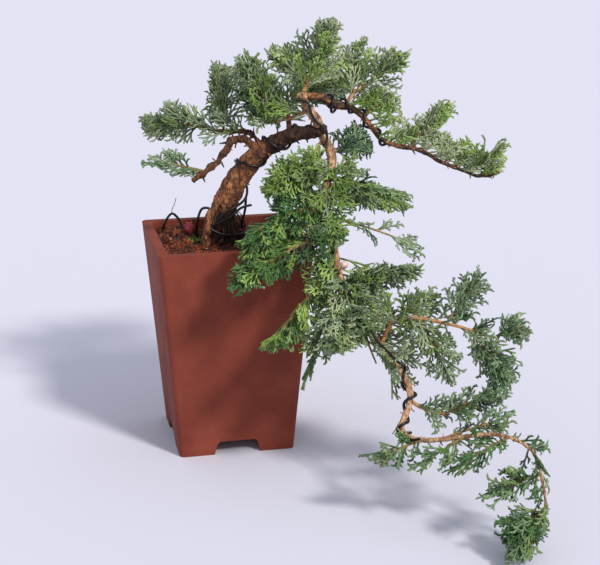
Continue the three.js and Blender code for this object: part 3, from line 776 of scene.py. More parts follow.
def fibrous(piece, first, last, width, depth):
    """Ridges that run from the first place to the last along a limb."""
    direction = (at(*last) - at(*first)).normalized()
    start_clean()
    bpy.ops.object.empty_add(location=at(*first),
                             rotation=direction.to_track_quat("Z", "Y").to_euler())
    lay = bpy.context.object
    lay.scale = (mm(width), mm(width), mm(width * fibre_stretch))
    bpy.context.view_layer.update()
    texture = bpy.data.textures.new(f"{piece.name}_fibres", "CLOUDS")
    texture.noise_scale, texture.noise_depth = 1.0, 3
    apply_modifier(piece, "DISPLACE", texture=texture, texture_coords="OBJECT",
                   texture_coords_object=lay, strength=mm(depth), mid_level=0.5)
    bpy.data.objects.remove(lay)


# %% Skins over the limbs
# A skin has its limbs' nodes, its voxel and rounds of smoothing, its lumps as texture, width and
# depth, the two places that its fibres run between, and the fibres' widths and depths.
skins = {
    "trunk_bark": (("trunk", "arch_bough", "cut_bough", "left_bough"), 0.62, 7,
                   (("CLOUDS", 8, 3.0), ("VORONOI", 6, 1.6)),
                   ((0, 5, 180), (60, -30, 274)), ((2.6, 1.7), (1.1, 0.7))),
    "limb_bark": (("top_limb", "crest_twig", "upper_right_bough", "cascade_upper",
                   "cascade_middle", "cascade_drop", "cascade_tail", "cascade_tip"), 0.5, 4,
                  (("CLOUDS", 5, 1.0),), ((75, -37, 276), (112, -180, 102)), ((1.5, 0.8),)),
    "shaded_bark": (("right_bough", "right_bough_outer", "back_bough"), 0.5, 4,
                    (("CLOUDS", 5, 1.0),), ((76, -33, 304), (217, -82, 244)), ((1.4, 0.7),)),
    "young_bark": (("crown_bough", "far_right_bough", "lower_right_bough"), 0.42, 3,
                   (("CLOUDS", 3, 0.5),), (), ()),
}
skin_pieces = {}
for name, (nodes, voxel, rounds, lumps, course, fibres) in skins.items():
    skin = skin_pieces[name] = wood_copy(name, nodes, voxel, rounds)
    for texture, width, depth in lumps:
        rough_up(skin, texture, width, depth)
    for width, depth in fibres:
        fibrous(skin, *course, width, depth)
    make_active(skin)
    bpy.ops.object.shade_smooth()
    print(name, len(skin.data.vertices), "corners")

# %% [markdown]
# ### Bark colours
#
# The trunk is orange-brown in its lower half. Painted shade makes it nearly black at its foot and
# where it bends over: each corner of its skin gets a share of shade from where it lies, and the
# finish is darkened by that layer. The hanging limb is tan, the youngest limbs are a paler tan,
# and the bough to the right is dark with orange flakes, its bark painted darker as shade.

# %% Shade on the trunk's skin
bend_shade, bend_starts, bend_ends = 0.93, 22, 38       # millimetres to the right
foot_shade, foot_starts, foot_ends = 0.9, 214, 200      # millimetres up
root_starts, root_ends = 4, 6                           # millimetres from the front root's line
bough_shades = {"cut": 0.55, "left": 0.35}
trunk_reach, bough_reach, off_trunk = 13, 5, 9


def ramp(values, first, last):
    """0 at the first value and 1 at the last, smoothly."""
    share = np.clip((values - first) / (last - first), 0, 1)
    return share * share * (3 - 2 * share)


trunk_mesh = skin_pieces["trunk_bark"].data
corners = np.empty(len(trunk_mesh.vertices) * 3)
trunk_mesh.vertices.foreach_get("co", corners)
corners = (corners.reshape(-1, 3) - np.array(pot_middle)) * 1000
gaps = {name: np.linalg.norm(corners[:, None] - line_places(name), axis=2).min(axis=1)
        for name in ("trunk", "cut", "left", "front_root")}
# Painted shade: the trunk darkens where it bends over and at its foot away from the front root,
# and the cut and left boughs by a fixed share.
shade = bend_shade * ramp(corners[:, 0], bend_starts, bend_ends) * (gaps["trunk"] < trunk_reach)
off_root = ramp(gaps["front_root"], root_starts, root_ends)
shade = np.maximum(shade, foot_shade * ramp(corners[:, 2], foot_starts, foot_ends) * off_root)
for name, depth in bough_shades.items():
    on_bough = (gaps[name] < bough_reach) & (gaps["trunk"] > off_trunk)
    shade = np.maximum(shade, depth * on_bough)
layer = trunk_mesh.attributes.new("shade", "FLOAT", "POINT")
layer.data.foreach_set("value", shade.astype(np.float32))
print("shaded bark, share of corners:", round(float((shade > 0.4).mean()), 2))


# %% Bark finishes
def darken_by_layer(material, dark):
    """Multiplies a finish's colour by a dark one, by the shade layer of the mesh."""
    tree = material.node_tree
    base = tree.nodes["Principled BSDF"].inputs["Base Color"]
    share = add_node(tree, "Attribute", attribute_name="shade")
    mix = add_node(tree, "Mix", data_type="RGBA", blend_type="MULTIPLY", inputs={
        "Factor": share.outputs["Fac"], mix_a: base.links[0].from_socket, mix_b: dark})
    tree.links.new(mix.outputs[mix_result], base)


trunk_turn, painted_shade_black = (0.3, 0.55, 0), (0.12, 0.11, 0.10, 1)
trunk_finish = make_finish("trunk_bark", ("#47291a", "#774930", "#b27649"), 130, 2.2,
                           (620, 260, 0.7), 0.0009, 0.88, (1, 1, 0.3), trunk_turn)
# The trunk's finish is darkened towards this colour by the painted shade layer.
darken_by_layer(trunk_finish, painted_shade_black)
tan_finish = make_finish("tan_bark", ("#5e412e", "#a57c5a", "#cfab86"), 150, 2.4,
                         (700, 300, 0.6), 0.0006, 0.8, (1, 0.45, 0.45))
# Shaded bark: the boughs' bark painted darker as shade, with orange flakes in its light tone.
shade_finish = make_finish("shaded_bark", ("#1d1511", "#493122", "#a0683c"), 130, 2.6,
                           (700, 300, 0.6), 0.0006, 0.85, (0.5, 1, 1))
young_finish = make_finish("young_bark", ("#7c5030", "#b67f4f", "#d7a673"), 170, 2.2,
                           (800, 340, 0.5), 0.0004, 0.75, (0.5, 1, 1))
for name, finish, slot in (
        ("trunk_bark", trunk_finish, "bark_trunk"), ("limb_bark", tan_finish, "bark_tan"),
        ("shaded_bark", shade_finish, "bark_shade"), ("young_bark", young_finish, "bark_twig")):
    nodes = skins[name][0]
    finish_piece(skin_pieces[name], finish, slot, *nodes)

# %% [markdown]
# ## Wires
#
# Black training wire, about 2.4 mm thick, winds round the trunk, the right bough and the hanging
# limb, and more of it is anchored in the soil round the trunk's foot. A wire is a round bar bent
# along a line, so a curve with a round bevel is the natural start; it is turned into a mesh once
# it is shaped, and its ends are closed.

# %% Bar along a line
def bent_bar(name, places, radius, sides=3):
    """A round bar along some places in millimetres, as a closed mesh."""
    curve = bpy.data.curves.new(name, "CURVE")
    curve.dimensions, curve.bevel_depth, curve.bevel_resolution = "3D", mm(radius), sides
    curve.use_fill_caps = True
    line = curve.splines.new("POLY")
    line.points.add(len(places) - 1)
    for point, place in zip(line.points, places):
        point.co = (*at(*place), 1)
    bar = bpy.data.objects.new(name, curve)
    scene.collection.objects.link(bar)
    make_active(bar)
    bpy.ops.object.convert(target="MESH")
    bar = settle(bpy.context.object, name)
    bpy.ops.object.shade_smooth_by_angle(angle=math.radians(50))
    return bar


def unit(vector):
    return vector / np.linalg.norm(vector)


first_across = (0.3, 1.0, 0.2)


def frames_along(places):
    """Two directions across a line at each of its places, turned as little as possible."""
    across = np.array(first_across)
    result = []
    for i in range(len(places)):
        ahead = unit(places[min(i + 1, len(places) - 1)] - places[max(i - 1, 0)])
        across = unit(across - ahead * across.dot(ahead))
        result.append((across, np.cross(ahead, across)))
    return result


def swung(across, up, angle):
    """The direction out of a line at an angle round it."""
    return across * math.cos(angle) + up * math.sin(angle)


# %% Wound wires
# Each row is the wire's limb, its first and last step, its turns and the angle it starts at. The
# right bough's solid is thicker at its knee than its line says, so the wire stands off there.
wound_wires = {
    "trunk_wire": ("trunk", 2.9, 6.1, 2.3, 350), "crown_wire": ("right", 0.9, 5.7, 4.5, 220),
    "cascade_wire": ("cascade", 7.4, 10.8, 3, 55),
}
wire_radius, wire_clearance, steps_per_turn = 1.2, 0.35, 18
knee_step, knee_rise, knee_sharpness = 2, 1.8, 2


def coil_places(limb, first, last, turns, phase):
    """The line of a wire wound round a limb from one step to another."""
    count = round(turns * steps_per_turn)
    steps = np.linspace(first, last, count + 1)
    centres = [limb_place(limb, step) for step in steps]
    places = []
    for i, (across, up) in enumerate(frames_along(centres)):
        angle = math.radians(phase) + 2 * math.pi * turns * i / count
        away = limb_radius(limb, steps[i]) + wire_radius + wire_clearance
        if limb == "right":
            away += knee_rise * math.exp(-knee_sharpness * (steps[i] - knee_step) ** 2)
        places.append(centres[i] + swung(across, up, angle) * away)
    return places


black_wire = make_finish("black_wire", ("#0d0c0c", "#181616", "#2b2826"), 60, 1.0,
                         (900, 200, 0.05), 0.0001, 0.38)
black_wire.node_tree.nodes["Principled BSDF"].inputs["Metallic"].default_value = 0.35
coils = {name: coil_places(*row) for name, row in wound_wires.items()}
for name, places in coils.items():
    finish_piece(bent_bar(f"{name}_round", places, wire_radius), black_wire, "wire", name)


# %% Loose wires at the foot, found from the picture
# Each place is a pixel and its depth in millimetres; a pixel alone lies on the soil.
def smooth_line(places, per_step=6):
    """More places on the smooth line through a few."""
    points = [tuple(place) for place in places]
    steps = np.linspace(0, len(points) - 1, (len(points) - 1) * per_step + 1)
    return [along(points, step) for step in steps]


def found(across, down, depth=None):
    """The place of a pixel at a depth, or on the soil."""
    return seen_on(across, down, soil_at_foot) if depth is None else seen_at(across, down, depth)


soil_at_foot, loose_radius = 172, wire_radius * 0.92
loose_wires = {
    "anchor_arch": [(163.5, 237), (164, 225, 40), (172, 213.5, 40), (181, 223, 40), (184, 237)],
    "foot_wire_upper": [(215, 222, -15), (228, 211.5, -18), (240, 204, -14), (246, 197, -6),
                        (247, 188, 2), (244, 181, 6)],
    "foot_wire_middle": [(214, 225, -16), (230, 217, -19), (241, 208, -13), (251, 205, -4)],
    "foot_wire_lower": [(210, 229, -18), (222, 234, -20), (236, 235, -20), (247, 231, -12),
                        (252, 222, 2)],
    "left_loop": [(196.5, 243), (197, 224, -4), (201, 210, -8), (208, 208, -9), (213, 212, -10)],
    "side_wire": [(246, 197, -6), (245, 210, -2), (242, 223, 0), (241, 241)],
    "elbow_wire": [(296, 99.5, -37), (303, 100.5, -38), (309, 104, -40), (311, 113, -42),
                   (316, 121, -43), (323.5, 127, -45), (327, 134, -49), (325.5, 145, -57),
                   (321.5, 155, -62)],
    "hanging_wire_start": [(371, 330, -159), (378, 342, -166), (388, 352, -174), (397, 361, -183)],
    "hanging_wire_end": [(406, 437, -206), (412, 440, -213), (420, 439, -218)],
}
loose_lines = {name: [found(*spot) for spot in spots] for name, spots in loose_wires.items()}
loose_lines["hanging_wire_start"].append(coils["cascade_wire"][1])
loose_lines["hanging_wire_end"].insert(0, coils["cascade_wire"][-2])
for name, places in loose_lines.items():
    finish_piece(bent_bar(name, smooth_line(places), loose_radius), black_wire, "wire")

# %% [markdown]
# ## Dead stubs
#
# Along the trunk, the cut bough and the limbs stand the short dead stubs of old twigs. One stub is
# modelled once: a cone that is cut off, pinched in and bent. Its copies follow the golden angle
# round each limb, as shoots do.

# %% One stub
start_clean()
bpy.ops.mesh.primitive_cone_add(vertices=7, radius1=0.34, radius2=0.17, depth=1,
                                location=(0, 0, 0.5))
stub = settle(bpy.context.object, "stub")
edit_all()
bpy.ops.mesh.subdivide(number_cuts=2)
leave_edit()
stub_dice = random.Random(41)
for vertex in stub.data.vertices:
    vertex.co.x = vertex.co.x * stub_dice.uniform(0.8, 1.25) + 0.16 * vertex.co.z ** 2
    vertex.co.y *= stub_dice.uniform(0.8, 1.25)
    vertex.co.z += stub_dice.uniform(-0.05, 0.05)
stub_shape = arrays_of(stub)
print("stub", len(stub_shape[1]), "triangles")


# %% Stubs along the limbs
# Each row is a limb, the steps that its stubs stand between, their number and their sizes.
stub_rows = {
    "dark": [("trunk", 2.2, 6.8, 26, (3.2, 6.0)), ("cut", 0.5, 5.6, 20, (3.0, 5.6)),
             ("left", 0.6, 3.8, 10, (2.6, 4.4)), ("right", 1.2, 10.5, 26, (2.2, 4.2))],
    "tan": [("cascade", 0.4, 13, 40, (2.2, 4.2)), ("top", 0.6, 3, 6, (2.4, 3.6))],
}
golden_angle = math.radians(137.5)
stub_thickness, sunk_share, stub_lean = 0.55, 0.75, (0.1, 0.7)


def stubs_along(limb, first, last, count, sizes, dice):
    """Dead stubs that stand out of a limb between two steps."""
    copies = []
    for i in range(count):
        step = first + (last - first) * (i + dice.random()) / count
        place = limb_place(limb, step)
        ahead = Vector(limb_place(limb, step + 0.1) - limb_place(limb, step - 0.1)).normalized()
        side = Vector(first_across)
        side = (side - ahead * ahead.dot(side)).normalized()
        side = Matrix.Rotation(golden_angle * i, 3, ahead) @ side
        outward = (side + ahead * dice.uniform(*stub_lean)).normalized()
        turn = np.array(outward.to_track_quat("Z", "Y").to_matrix())
        root = place + np.array(side) * limb_radius(limb, step) * sunk_share
        size = np.array((stub_thickness, stub_thickness, 1)) * mm(dice.uniform(*sizes))
        copies.append(placed(stub_shape, turn, size, at(*root)))
    return copies


stub_dice = random.Random(42)
# Stubs on the trunk and the dark boughs take the shaded bark with its painted shade.
for kind, finish, slot in (("dark", shade_finish, "bark_shade"), ("tan", tan_finish, "bark_tan")):
    copies = [copy for row in stub_rows[kind] for copy in stubs_along(*row, stub_dice)]
    finish_piece(joined_piece(f"dead_stubs_{kind}", copies), finish, slot)

# %% [markdown]
# ## Fine roots
#
# Round the trunk's foot a tangle of dark, hair-thin roots runs into the soil. They are short bars
# that leave the trunk, sag and dive, drawn by one rule with a fixed seed. One more, dry and pale
# red, stands up beside the far arch of wire.

# %% Fine roots
root_count, root_heights, root_reaches, root_radii = 76, (178, 208), (13, 24), (0.3, 0.9)
trunk_rise = 24        # millimetres from one place of the trunk's line to the next, at its foot
bark_depth, sag_start, dive = 7, 10, 2
root_dice = random.Random(31)
root_finishes = {
    "dark": make_finish("dark_roots", ("#0f0a08", "#20140f", "#3d2a20"), 200, 2.0,
                        (900, 400, 0.3), 0.0003, 0.9),
    "red": make_finish("red_roots", ("#3a1c12", "#6b3624", "#93583a"), 200, 2.0,
                       (900, 400, 0.3), 0.0003, 0.85),
}
root_copies = {"dark": [], "red": []}
for i in range(root_count):
    angle = golden_angle * i
    height = root_dice.uniform(*root_heights)
    foot = limb_place("trunk", (height - soil_at_foot) / trunk_rise)
    outward = np.array((math.cos(angle), math.sin(angle), 0))
    end = foot + outward * root_dice.uniform(*root_reaches)
    bend = np.array([root_dice.uniform(-7, 7), root_dice.uniform(-7, 7), root_dice.uniform(-4, 6)])
    end[2] = soil_level(end[0], end[1]) - dive
    middle = (foot + outward * sag_start + end) / 2 + bend
    line = smooth_line([foot + outward * bark_depth, middle, end], 5)
    strand = bent_bar("strand", line, root_dice.uniform(*root_radii), 1)
    root_copies[root_dice.choice(("dark", "dark", "red"))].append(arrays_of(strand))
for kind, copies in root_copies.items():
    finish_piece(joined_piece(f"fine_roots_{kind}", copies), root_finishes[kind], "bark_trunk")
hair = [found(171.7, 213, 40), found(172.5, 208, 40), found(174.3, 204.5, 40), found(176, 198, 40)]
finish_piece(bent_bar("dry_hair_root", smooth_line(hair), 0.32, 1), root_finishes["red"],
             "bark_trunk")

# %% [markdown]
# ## Foliage rule
#
# A Chinese juniper's adult leaves are tiny scales that hug the shoot, so its foliage is made of
# thin green cords that fork in flat fans. The masses follow the rule that placed the solids: a
# stem arches from its limb to the mass's tip, twigs leave it by the golden angle, and each carries
# fans. Here the rule goes on to the finer twiglets. A fan loses the cords that would leave its
# mass's space, cross a gap, or touch a limb, the pot or the table. If it loses its axis or more
# than half of its cords, a smaller fan is tried, and else none is placed.

# %% The masses
# Each row is a mass's name, its limb, the step along it, the tip, the reach, the stem's bow, the
# number of twigs in the solid, and the tint.
mass_rows = [
    ("far_left_pad", "left", 4, (-62, 24, 280), 18, 4, 6, "grey"),
    ("left_pad_low", "left", 2.9, (0, 23, 314), 20, 4, 5, "grey"),
    ("left_pad_high", "crest", 3, (20, -18, 323), 20, 6, 6, "mid"),
    ("cut_bough_spray", "cut", 5.2, (-68, -20, 254), 9, 2, 4, "dark"),
    ("crown_left", "crown", 0.8, (50, -9, 336), 15, 3, 5, "airy"),
    ("crown_top", "crown", 2, (80, -32, 358), 16, 2, 5, "airy"),
    ("upper_right_rear", "upper_right", 0.8, (110, -16, 346), 14, 4, 4, "airy"),
    ("upper_right_tip", "upper_right", 2, (143, -26, 331), 12, 2, 3, "airy"),
    ("right_pad_inner", "right", 3.9, (138, -34, 306), 17, 3, 5, "sunny"),
    ("right_pad_middle", "right", 6.6, (177, -57, 298), 18, 4, 5, "sunny"),
    ("right_pad_tip", "right", 9.5, (219, -89, 271), 17, 4, 7, "sunny"),
    ("shade_tuft", "cascade", 0.9, (124, -22, 264), 15, 3, 5, "shade"),
    ("front_pad_high", "cascade", 1.5, (29, -75, 241), 20, 6, 7, "bright"),
    ("front_pad_middle", "cascade", 2.7, (-1, -106, 207), 20, 6, 7, "lush"),
    ("front_pad_low", "cascade", 3.6, (-9, -113, 170), 19, 8, 7, "lush"),
    ("front_droop", "cascade", 4.9, (12, -128, 121), 17, 8, 6, "bright"),
    ("right_mid_pad", "cascade", 1.9, (138, -63, 221), 19, 6, 5, "mid"),
    ("sparse_twig", "cascade", 3.1, (142, -84, 187), 15, 6, 3, "sparse"),
    ("right_low_pad", "cascade", 5.4, (125, -120, 180), 19, 4, 6, "grey"),
    ("centre_pad", "cascade", 5.8, (60, -156, 126), 16, 5, 5, "grey"),
    ("limb_pad", "far_right", 1.3, (134, -150, 160), 14, 2, 2, "mid"),
    ("hanging_spray", "cascade", 5.2, (36, -139, 80), 11, 10, 5, "mid"),
    ("far_right_high", "far_right", 3.3, (167, -170, 176), 15, 2, 4, "dark"),
    ("far_right_tip", "far_right", 5, (203, -198, 150), 15, 2, 5, "dark"),
    ("far_right_low", "far_right", 4.2, (184, -205, 108), 17, 4, 5, "dark"),
    ("far_right_inner", "far_right", 2.2, (142, -183, 112), 15, 4, 3, "grey"),
    ("lower_right_spray", "lower_right", 2, (180, -213, 106), 11, 2, 4, "dark"),
    ("tail_top_spray", "cascade", 12.1, (187, -230, 89), 9, 4, 4, "dark"),
    ("tail_left_spray", "cascade", 11.5, (73, -219, 57), 9, 3, 4, "tail"),
    ("tail_under_inner", "cascade", 12.6, (104, -228, 52), 8, 2, 3, "tail"),
    ("tail_under_outer", "cascade", 13.9, (129, -238, 52), 9, 3, 4, "tail"),
    ("tip_mass", "cascade", 16, (157, -286, 10), 20, 3, 6, "tail"),
    ("tip_left_spray", "cascade", 15.4, (146, -274, 46), 11, 3, 3, "tail"),
    ("sagging_twig", "cascade", 6.1, (97, -176, 98), 7, -6, 3, "grey"),
    ("back_pad_left", "back", 2, (36, 62, 294), 18, 5, 5, "mid"),
    ("back_pad_right", "back", 3, (112, 52, 300), 18, 5, 6, "mid"),
    ("cascade_back", "cascade", 2.4, (126, -14, 212), 15, 5, 4, "dark"),
]
mass_keys = ("name", "limb", "step", "tip", "reach", "bow", "twigs", "tint")
masses = [dict(zip(mass_keys, row)) for row in mass_rows]
print(len(masses), "masses")


# %% Stems and spaces
def bowed(start, bend, end, share):
    """The place at a share of the bowed line from start to end."""
    return (1 - share) ** 2 * start + 2 * share * (1 - share) * bend + share ** 2 * end


def stem_place(mass, share):
    """The place at a share of a mass's arched stem."""
    start = limb_place(mass["limb"], mass["step"])
    tip = np.array(mass["tip"], float)
    bend = (start + tip) / 2 + np.array((0, 0, mass["bow"]))
    return bowed(start, bend, tip, share)


overshoot, widest_share, space_stretch = 8, 0.6, 0.75
box_margin, wood_margin, wood_count = 4.0, 6, 80
stem_shares = np.linspace(0, 1, 13)
wood_places = np.concatenate([line_places(name, wood_count) for name in limbs])
wood_radii = np.concatenate([limb_radius(name, limb_steps(name, wood_count)) for name in limbs])
for mass in masses:
    away = (stem_shares - widest_share) / space_stretch
    mass["places"] = np.array([stem_place(mass, s) for s in stem_shares])
    mass["room"] = mass["reach"] * np.sqrt(np.maximum(0, 1 - away ** 2)) + overshoot
    gaps = np.linalg.norm(wood_places[:, None] - mass["places"], axis=2)
    near = (gaps < mass["room"] + wood_margin).any(axis=1)
    mass["wood"] = wood_places[near], wood_radii[near]
    low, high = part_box(mass["name"])
    mass["low"] = np.array((low - pot_middle) * 1000) - box_margin
    mass["high"] = np.array((high - pot_middle) * 1000) + box_margin

# %% What foliage keeps clear of
pot_clearance, table_clearance, wood_clearance = 1.5, 1.5, 0.5


def fits(mass, spots, part=1.0):
    """Which spots lie within a part of a mass's room, in its solid's box and clear of the rest."""
    inside = (spots > mass["low"]).all(axis=1) & (spots < mass["high"]).all(axis=1)
    away = np.linalg.norm(spots[:, None] - mass["places"], axis=2)
    inside &= (away < mass["room"] * part).any(axis=1)
    return inside & is_clear(mass["wood"], spots) & is_unseen(mass["name"], mass["limb"], spots)


def is_clear(near_wood, spots):
    """Which spots are clear of the table, the pot and the limbs near by."""
    beside = np.abs(spots[:, :2]).max(axis=1) - half_side(spots[:, 2])
    on_pot = (spots[:, 2] < pot_height + pot_clearance) & (beside < pot_clearance)
    wood, radii = near_wood
    on_wood = (np.linalg.norm(spots[:, None] - wood, axis=2) < radii + wood_clearance).any(axis=1)
    return (spots[:, 2] > table_clearance) & ~on_pot & ~on_wood


# %% Gaps that the picture shows
# Each gap is a ring of pixels that the named limbs' foliage leaves open, and the last name is a
# mass that may cross it.
hanging, far = ("cascade",), ("far_right", "lower_right")
gaps_seen = {
    "trunk's foot": ([
        (196, 150), (262, 150), (262, 176), (252, 192), (256, 204), (269, 211), (268, 220),
        (247, 225), (242, 237), (229, 245), (221, 262), (150, 262), (150, 225), (196, 200)],
        hanging, ""),
    "pot's front": ([
        (150, 262), (224, 262), (224, 292), (232, 308), (244, 298), (252, 290), (276, 295),
        (292, 291), (298, 278), (306, 280), (298, 300), (287, 312), (278, 332), (254, 344),
        (256, 352), (272, 360), (286, 353), (290, 370), (290, 384), (294, 412), (294, 440),
        (150, 440)],
        hanging, ""),
    "right of the hanging limb": ([
        (352, 112), (366, 124), (378, 150), (370, 166), (384, 184), (402, 190), (423, 196),
        (440, 215), (600, 215), (600, 112)],
        hanging, ""),
    "over the sparse twig": ([
        (362, 226), (408, 222), (440, 215), (440, 262), (410, 262), (398, 264), (385, 258),
        (364, 266), (352, 258), (350, 236)],
        hanging, "sparse_twig"),
    "under the centre": ([
        (318, 372), (330, 362), (360, 352), (372, 352), (388, 372), (392, 440), (352, 440),
        (340, 412), (318, 412)],
        hanging, "hanging_spray"),
    "left of the tip": ([
        (430, 478), (478, 512), (480, 524), (492, 532), (503, 550), (504, 600), (430, 600)],
        hanging, ""),
    "right of the tip": ([
        (552, 425), (600, 425), (600, 600), (538, 600), (543, 552), (554, 530)],
        hanging, ""),
    "right of the far spray": ([
        (506, 250), (506, 298), (524, 305), (539, 332), (540, 356), (530, 372), (516, 386),
        (516, 402), (600, 430), (600, 250)],
        far, ""),
    "over the right bough": ([
        (374, 50), (379, 82), (397, 88), (415, 102), (420, 116), (428, 104), (440, 98),
        (452, 94), (466, 111), (456, 122), (452, 132), (464, 124), (476, 131), (489, 130),
        (482, 145), (492, 150), (504, 134), (514, 143), (506, 162), (510, 186), (600, 186),
        (600, 50)],
        ("right",), ""),
    "round the berry": ([
        (336, 256), (344, 253), (352, 257), (354, 266), (350, 274), (342, 276), (334, 272),
        (332, 264)],
        hanging, ""),
    "over the far left pad": ([
        (110, 40), (110, 120), (136, 115), (157, 106), (166, 96), (182, 96), (193, 104),
        (201, 98), (205, 88), (208, 66), (208, 40)],
        ("left",), ""),
}


# %% Keeping out of the gaps
def inside_ring(ring, pixels):
    """Which pixels lie inside a ring, by counting the edges to their right."""
    inside = np.zeros(len(pixels), bool)
    across, down = pixels[:, 0], pixels[:, 1]
    for (u0, v0), (u1, v1) in zip(ring, ring[1:] + ring[:1]):
        crosses = (v0 > down) != (v1 > down)
        inside ^= crosses & (across < (u1 - u0) * (down - v0) / ((v1 - v0) or 1) + u0)
    return inside


def is_unseen(name, limb, spots):
    """Which spots of a limb's foliage stay out of the gaps."""
    pixels = picture_places(spots)
    in_gap = np.zeros(len(spots), bool)
    for ring, gap_limbs, may_cross in gaps_seen.values():
        if limb in gap_limbs and name != may_cross:
            in_gap |= inside_ring(ring, pixels)
    return ~in_gap


# %% [markdown]
# ### The fan
#
# One fan is modelled a few times in each size: a long axis with short shoots to either hand, a
# few of them long and forked in their turn. A feather has few long shoots, as on the
# hanging tail, and a hand has many, as in the crowded front pads. Every cord is a four-sided bar
# whose radius goes in and out, which reads as overlapping scales. Tens of thousands of cords would
# take an operator each hours, so here the corners and faces are written as arrays.

# %% One cord
cord_radius, scale_waist, blunt_length = 0.84, 0.86, 1.1


def tube_faces(rings, sides):
    """The triangles of a tube's side, from ring to ring."""
    faces = []
    for ring in range(rings - 1):
        for k in range(sides):
            a, b = ring * sides + k, ring * sides + (k + 1) % sides
            faces += [(a, b, b + sides), (a, b + sides, a + sides)]
    return faces


def cord_arrays(start, bend, end, root, tip, rings):
    """A twiglet along a bowed line: a four-sided bar with a blunt end."""
    shares = np.linspace(0, 1, rings)[:, None]
    centres = bowed(start, bend, end, shares)
    ahead = unit(end - start)
    side = unit(np.cross(ahead, (0, 0, 1.0)))
    up = np.cross(side, ahead)
    waists = np.where(np.arange(rings) % 2, scale_waist, 1.0)
    radii = (root + (tip - root) * shares[:, 0]) * waists
    corners = [centre + radius * way for centre, radius in zip(centres, radii)
               for way in (side, up, -side, -up)]
    corners.append(end + ahead * tip * blunt_length)
    last = (rings - 1) * 4
    faces = tube_faces(rings, 4)
    faces += [(last + i, last + (i + 1) % 4, last + 4) for i in range(4)]
    faces += [(2, 1, 0), (3, 2, 0)]
    return np.array(corners), np.array(faces)


# %% One fan
# At each level of forking a kind has the gap between shoots, the millimetres that a shoot gets
# beyond its share of the length, and the chance of a long shoot; then the two shares of the
# length, and the least and widest angle of a fork in degrees.
fan_kinds = {
    "hand": {"gaps": (4.4, 5.0, 5.6), "extras": (4.6, 3.8, 3.0), "long_chance": (1, 1, 0),
             "long_part": 0.52, "short_part": 0.3, "fork": (17, 31)},
    "feather": {"gaps": (3.1, 3.3, 2.6), "extras": (3.6, 3.0, 2.3), "long_chance": (0.2, 0, 0),
                "long_part": 0.72, "short_part": 0.15, "fork": (24, 40)},
}
first_shoot, shoot_span, last_long_share = 0.06, 0.9, 0.8
level_radii, end_share, ring_reaches = (1.05, 0.97, 0.9, 0.85), 0.88, (6, 12, 20)


def turned(direction, angle):
    """A direction in the fan's plane turned by an angle."""
    c, s = math.cos(angle), math.sin(angle)
    return np.array((c * direction[0] - s * direction[1], s * direction[0] + c * direction[1],
                     direction[2]))


def model_fan(length, kind, seed):
    """A flat, forking fan along +Y, in millimetres: its arrays, and each cord's parent."""
    dice = random.Random(seed)
    habit = fan_kinds[kind]
    cords, parents, spots = [], [], []

    def grow(start, direction, reach, level, hand, parent):
        ahead = unit(direction + np.array((0, 0, dice.uniform(-0.14, 0.14))))
        inward = turned(ahead, -hand * dice.uniform(0.02, 0.16))
        bend = start + ahead * reach * 0.5
        end = bend + inward * reach * 0.5
        root = cord_radius * level_radii[level]
        rings = 2 + sum(reach > least for least in ring_reaches)
        own = len(cords)
        cords.append(cord_arrays(start, bend, end, root, root * end_share, rings))
        parents.append(parent)
        spots.append((end, bend))
        if level == len(habit["gaps"]):
            return
        count = int(reach / habit["gaps"][level])
        for i in range(count):
            share = first_shoot + shoot_span * (i + dice.uniform(0.3, 0.8)) / count
            side = 1 if (i + (hand > 0)) % 2 else -1
            is_long = share < last_long_share and dice.random() < habit["long_chance"][level]
            part = habit["long_part" if is_long else "short_part"]
            size = reach * (1 - share) * part + habit["extras"][level]
            angle = math.radians(dice.uniform(*habit["fork"]))
            grow(bowed(start, bend, end, share), turned(ahead, side * angle),
                 size * dice.uniform(0.8, 1.15), level + 1 if is_long else max(level + 1, 2),
                 side, own)

    grow(np.zeros(3), np.array((0.0, 1.0, 0.0)), length * 0.97, 0, dice.choice((-1, 1)), -1)
    corners, faces = zip(*cords)
    starts = np.cumsum([0] + [len(part) for part in corners])
    numbers = range(len(cords))
    ends, bends = zip(*spots)
    return {"corners": np.concatenate(corners),
            "faces": np.concatenate([part + start for part, start in zip(faces, starts)]),
            "corner_cord": np.repeat(numbers, [len(part) for part in corners]),
            "face_cord": np.repeat(numbers, [len(part) for part in faces]),
            "parents": parents, "ends": np.array(ends), "bends": np.array(bends)}

# %% Fans in every size
fan_sizes, fan_forms = (38, 31, 25, 20, 15), 6
fans = {(kind, size): [model_fan(size, kind, 100 + 7 * i + size) for i in range(fan_forms)]
        for kind in fan_kinds for size in fan_sizes}
print("fans:", {key: [f"{len(fan['parents'])} cords, {len(fan['faces'])} triangles"
                      for fan in kinds][:2] for key, kinds in fans.items()})
